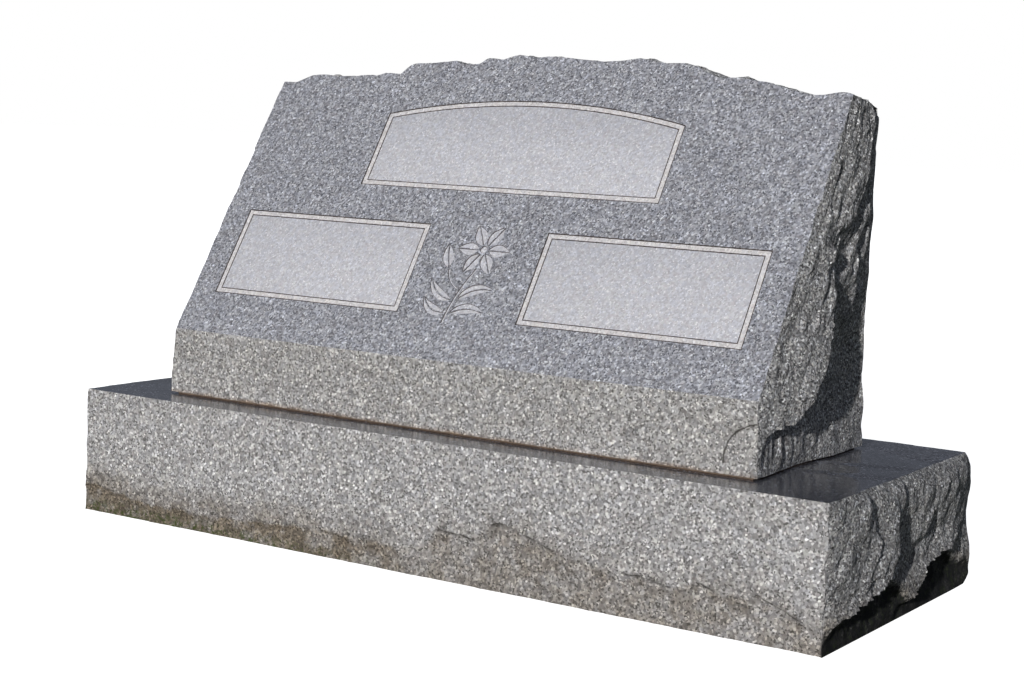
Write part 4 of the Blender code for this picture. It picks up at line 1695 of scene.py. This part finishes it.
    def rock(self, box: np.ndarray, rest: np.ndarray) -> np.ndarray:
        """Shift of every corner that breaks the ends, back and top.

        Args:
            box: Corner positions on the plain box.
            rest: Corner positions on the smooth tablet.

        Returns:
            The shift, one row per corner.
        """
        size = self.sizes
        half, depth = size.tablet_length / 2, size.tablet_depth
        x, y, z = rest.T
        from_slope = np.where(z > size.nosing, (y - self.slant_front(z)) * math.sin(size.slant), y)
        from_top = size.shoulder + arc_rise(x, half, size.crown_rise) - z
        shift = self.break_top(rest, from_top, box[:, 2] > size.shoulder - NEAR)
        right, left = (end(y, z, from_slope, from_top) for end in (self.right_end, self.left_end))
        shift[:, 0] = np.where(box[:, 0] > half - NEAR, right, 0)
        shift[:, 0] -= np.where(box[:, 0] < -half + NEAR, left, 0)
        edges = [(x + half, PITCHING.corner_run), (half - x, PITCHING.corner_run), (from_top, PITCHING.run)]
        back = PITCHING.relief(x + 0.3 * z, z, edges, 67, 0.0, z)
        shift[:, 1] += np.where(box[:, 1] > depth - NEAR, back, 0)
        return shift

    def nosing_chip(self, rest: np.ndarray) -> np.ndarray:
        """A shallow shell-shaped chip at the right of the nosing.

        Args:
            rest: Corner positions on the smooth tablet.

        Returns:
            The shift along y of each corner.
        """
        x, y, z = rest.T
        chip = NOSING_CHIP
        from_rim = 1 - np.hypot((x - chip.across) / chip.half_width, (z - chip.up) / chip.half_height)
        inside = np.clip(from_rim * chip.rim_run / chip.depth, 0, 1)
        fade = np.exp(-np.maximum(from_rim, 0) * chip.rim_run / chip.fade_run)
        fade = fade * smooth_step(z, 0.004, chip.up)
        on_front = (y < NEAR) & (x < self.sizes.tablet_length / 2 + NEAR)
        return np.where(on_front, chip.depth * inside * fade, 0)

    def add_outline(self, points: Outline) -> bpy.types.Object:
        """Adds a flat face on the slant plane from a circle whose corners are drawn to an outline.

        Args:
            points: The outline in slant coordinates.

        Returns:
            The new object.
        """
        size = self.sizes
        bpy.ops.object.select_all(action="DESELECT")
        bpy.ops.mesh.primitive_circle_add(vertices=len(points), fill_type="NGON")
        piece = bpy.context.active_object
        flat = np.array([(x, y, 0.0) for x, y in points])
        turned = flat @ np.array(Matrix.Rotation(size.slant, 3, "X")).T
        set_places(piece, turned + np.array([0, size.tablet_front, size.tablet_foot + size.nosing]))
        return piece

    def build(self, materials: Sequence[bpy.types.Material]) -> bpy.types.Object:
        """Models the tablet.

        Args:
            materials: One per finish, in the order of Surface.

        Returns:
            The finished object.
        """
        size = self.sizes
        half = size.tablet_length / 2
        far = Vector((half, size.tablet_depth, size.shoulder))
        piece = start_box("slant_tablet_dressed", Vector((-half, 0, 0)), far)

        def closed_later(face: bmesh.types.BMFace) -> bool:
            """Whether a face is the underside or the slant face."""
            above = face.calc_center_median().z > size.nosing
            return face.normal.z < -0.9 or (face.normal.y < -0.9 and above)

        with EditMode(piece):
            bpy.ops.mesh.select_all(action="SELECT")
            bpy.ops.mesh.bisect(plane_co=(0, 0, size.nosing), plane_no=(0, 0, 1))
            pick_faces(piece, closed_later)
            bpy.ops.mesh.delete(type="FACE")
            cut_along(piece, 2, self.nosing_cuts, high=size.nosing)
            cut_along(piece, 2, self.slant_cuts, low=size.nosing)
            cut_along(piece, 0, self.length_cuts)
            cut_along(piece, 1, self.depth_cuts)
        box = get_places(piece)
        rest = self.section(box)
        moved = rest + self.rock(box, rest)
        moved[:, 1] += self.nosing_chip(rest)
        set_places(piece, moved + np.array([0, size.tablet_front, size.tablet_foot]))
        hold_in_box(piece, "slant_tablet")
        # The arris goes back to the plane of the slant face, so that the face is filled flat
        held = get_places(piece)
        arris = (box[:, 1] < NEAR) & (box[:, 2] > size.nosing + NEAR)
        held[arris, 1] = size.tablet_front + self.slant_front(held[arris, 2] - size.tablet_foot)
        set_places(piece, held)
        for material in materials:
            piece.data.materials.append(material)
        for face in piece.data.polygons:
            flat = abs(face.normal.y) > 0.6 and face.center.y < size.tablet_front + 0.004
            face.material_index = Surface.STEELED.value if flat else Surface.PITCHED.value
        self.close_faces(piece)
        self.carve(piece)
        finish_piece(piece, "slant_tablet")
        return piece

    def on_slant(self, point: Vector) -> bool:
        """Whether a point lies in the plane of the slant face."""
        up = point.z - self.sizes.tablet_foot - self.sizes.nosing
        back = point.y - self.sizes.tablet_front
        return abs(up * math.cos(self.sizes.slant) - back * math.sin(self.sizes.slant)) < 2e-5

    def close_faces(self, piece: bpy.types.Object) -> None:
        """Fills the underside, then the slant face around the outlines that will be carved.

        Args:
            piece: The tablet with both faces open.
        """
        foot = self.sizes.tablet_foot
        with EditMode(piece):
            pick_edges(piece, lambda a, b: abs(a.z - foot) < NEAR and abs(b.z - foot) < NEAR, loose=True)
            bpy.ops.mesh.edge_face_add()
            piece.data.update()
            surface_selected(piece, Surface.UNDERSIDE)
        shapes = [self.add_outline(panel.outline()) for panel in self.panels()]
        shapes += [self.add_outline(points) for points in self.flower.outlines()]
        bpy.ops.object.select_all(action="DESELECT")
        count = len(piece.data.polygons)
        for shape in shapes:
            shape.select_set(True)
        piece.select_set(True)
        bpy.context.view_layer.objects.active = piece
        bpy.ops.object.join()
        log.info("carved outlines: %d faces", len(piece.data.polygons) - count)
        with EditMode(piece):
            found = pick_edges(piece, lambda a, b: self.on_slant(a) and self.on_slant(b), loose=True)
            log.info("edges around the slant face: %d", found)
            bpy.ops.mesh.fill(use_beauty=True)
            surface_selected(piece, Surface.POLISHED, corners=3)
            bpy.ops.mesh.select_all(action="SELECT")
            bpy.ops.mesh.normals_make_consistent(inside=False)

    def sink(self, piece: bpy.types.Object, width: float, depth: float, ring: Surface) -> None:
        """Insets the selected faces and gives the ring its finish.

        Args:
            piece: The object in edit mode, with the faces to inset selected.
            width: Width of the ring.
            depth: How much deeper the inner face lies.
            ring: Finish of the ring.
        """
        surface_selected(piece, ring)
        bpy.ops.mesh.inset(thickness=width, depth=-depth, use_even_offset=True, use_boundary=True)

    def carve(self, piece: bpy.types.Object) -> None:
        """Sinks the panels, with an incised line on both sides of the border, and the flower.

        Args:
            piece: The closed tablet.
        """
        up = self.sizes.slant
        outward = Vector((0, -math.sin(up), math.cos(up)))
        plane = Vector((0, self.sizes.tablet_front, self.sizes.tablet_foot + self.sizes.nosing))

        def carved(face: bmesh.types.BMFace, large: bool) -> bool:
            """Whether a face is an outline on the slant plane.

            Args:
                face: The face.
                large: Whether a panel is looked for, not a part of the flower.

            Returns:
                Whether it is one.
            """
            if abs(face.normal.dot(outward)) < 0.99 or len(face.verts) == 3:
                return False
            if abs((face.calc_center_median() - plane).dot(outward)) > 1e-4:
                return False
            return (face.calc_area() > 0.01) == large

        half_line = self.line_width / 2
        rings = (
            (half_line, self.line_depth, Surface.INCISED),
            (half_line, self.band_depth - self.line_depth, Surface.INCISED),
            (self.band_width - 2 * self.line_width, 0.0, Surface.BLASTED),
            (half_line, self.line_depth - self.band_depth, Surface.INCISED),
            (half_line, self.field_depth - self.line_depth, Surface.INCISED),
        )
        with EditMode(piece):
            found = pick_faces(piece, lambda face: carved(face, True))
            log.info("panels: %d", found)
            for width, depth, ring in rings:
                self.sink(piece, width, depth, ring)
            surface_selected(piece, Surface.FROSTED)
            found = pick_faces(piece, lambda face: carved(face, False))
            log.info("parts of the flower: %d", found)
            self.sink(piece, self.flower_bevel, self.flower_depth, Surface.INCISED)
            surface_selected(piece, Surface.FROSTED)


@dataclass(frozen=True)
class Sun:
    """A soft directional light.

    Its side is the angle from straight in front of the stone, positive to its right, and its height the
    angle above the horizon. These and the spread are in degrees, and the strength is its irradiance.
    """

    name: str
    side: float
    height: float
    strength: float
    spread: float
    colour: Colour

    def hang(self) -> None:
        """Adds the light to the scene."""
        side, height = math.radians(self.side), math.radians(self.height)
        data = bpy.data.lights.new(self.name, "SUN")
        data.energy = self.strength
        data.angle = math.radians(self.spread)
        data.color = self.colour
        lamp = bpy.data.objects.new(self.name, data)
        level = math.cos(height)
        towards = Vector((math.sin(side) * level, -math.cos(side) * level, math.sin(height)))
        lamp.rotation_euler = towards.to_track_quat("Z", "Y").to_euler()
        bpy.context.scene.collection.objects.link(lamp)


@dataclass(frozen=True)
class Studio:
    """Pale floor, soft light and the camera."""

    eye: tuple[float, float, float] = (1.3778, -2.1535, 0.5867)
    pan: float = math.radians(-32.517)
    tilt: float = math.radians(6.648)
    roll: float = math.radians(2.365)
    lens: float = 66.14
    suns: tuple[Sun, ...] = (
        Sun("key", 9.5, 14.0, 3.05, 1.5, (1.0, 0.985, 0.965)),
        Sun("rear", -120.0, 30.0, 1.0, 20.0, (0.92, 0.96, 1.0)),
    )
    ambient: Colour = (0.105, 0.115, 0.14)

    def place_camera(self) -> None:
        """Sets the camera at the measured place and angle."""
        flat = math.cos(self.tilt)
        ahead = Vector((math.sin(self.pan) * flat, math.cos(self.pan) * flat, -math.sin(self.tilt)))
        level = Vector((math.cos(self.pan), -math.sin(self.pan), 0))
        upright = level.cross(ahead)
        right = level * math.cos(self.roll) + upright * math.sin(self.roll)
        above = upright * math.cos(self.roll) - level * math.sin(self.roll)
        turn = Matrix((right, above, -ahead)).transposed().to_4x4()
        data = bpy.data.cameras.new("camera")
        data.sensor_fit = "HORIZONTAL"
        data.sensor_width = 36.0
        data.lens = self.lens
        camera = bpy.data.objects.new("camera", data)
        camera.matrix_world = Matrix.Translation(self.eye) @ turn
        bpy.context.scene.collection.objects.link(camera)
        bpy.context.scene.camera = camera

    def light(self) -> None:
        """Adds the key light, a weak light from behind and the surrounding glow."""
        for sun in self.suns:
            sun.hang()
        world = bpy.data.worlds.new("studio")
        bpy.context.scene.world = world
        world.use_nodes = True
        tree = world.node_tree
        tree.nodes.clear()
        s = Sketch(tree)
        glow = s.add("ShaderNodeBackground")
        s.feed(glow, "Color", self.ambient)
        s.feed(glow, "Strength", 1.0)
        paper = s.add("ShaderNodeBackground")
        s.feed(paper, "Color", (1.0, 1.0, 1.0))
        s.apart(paper, glow, s.add("ShaderNodeOutputWorld"))

    def lay_floor(self) -> None:
        """Lays a wide pale floor that throws little light back."""
        bpy.ops.object.select_all(action="DESELECT")
        bpy.ops.mesh.primitive_plane_add(size=60.0, location=(0, 0, -0.0005))
        floor = bpy.context.active_object
        floor.name = "floor"
        material = bpy.data.materials.new("floor_paper")
        material.use_nodes = True
        tree = material.node_tree
        tree.nodes.clear()
        s = Sketch(tree)
        seen = s.add("ShaderNodeBsdfDiffuse")
        s.feed(seen, "Color", (0.8, 0.8, 0.8))
        lift = s.add("ShaderNodeEmission")
        s.feed(lift, "Color", (0.90, 0.90, 0.90))
        pale = s.add("ShaderNodeAddShader")
        tree.links.new(seen.outputs[0], pale.inputs[0])
        tree.links.new(lift.outputs[0], pale.inputs[1])
        dull = s.add("ShaderNodeBsdfDiffuse")
        s.feed(dull, "Color", (0.10, 0.11, 0.08))
        s.apart(pale, dull, s.add("ShaderNodeOutputMaterial"))
        floor.data.materials.append(material)

    def build(self) -> None:
        """Sets up the whole studio."""
        self.place_camera()
        self.light()
        self.lay_floor()
        bpy.context.scene.view_settings.view_transform = "Standard"


def main() -> None:
    """Builds the studio and the three pieces."""
    logging.basicConfig(level=logging.INFO, format="%(name)s: %(message)s")
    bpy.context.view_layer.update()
    Studio().build()
    grain, weather = make_grain_group(), make_weather_group()

    def made(finish: GraniteFinish) -> bpy.types.Material:
        """Makes a granite finish with the shared groups."""
        return finish.make(grain, weather)

    sawn = made(SAWN_UNDERSIDE)
    base_finishes = [made(STEELED_BASE), made(SHADED_POLISHED_TOP), made(PITCHED_BASE), sawn]
    BaseStone().build(base_finishes)
    SettingBed().build(SETTING_COMPOUND.make())
    faces = (POLISHED_SLANT, STEELED_NOSING, PITCHED_ROCK)
    carving = (FROSTED_PANEL, BLASTED_BAND, INCISED_LINE)
    SlantTablet().build([made(finish) for finish in faces + carving] + [sawn])


if __name__ == "__main__":
    main()
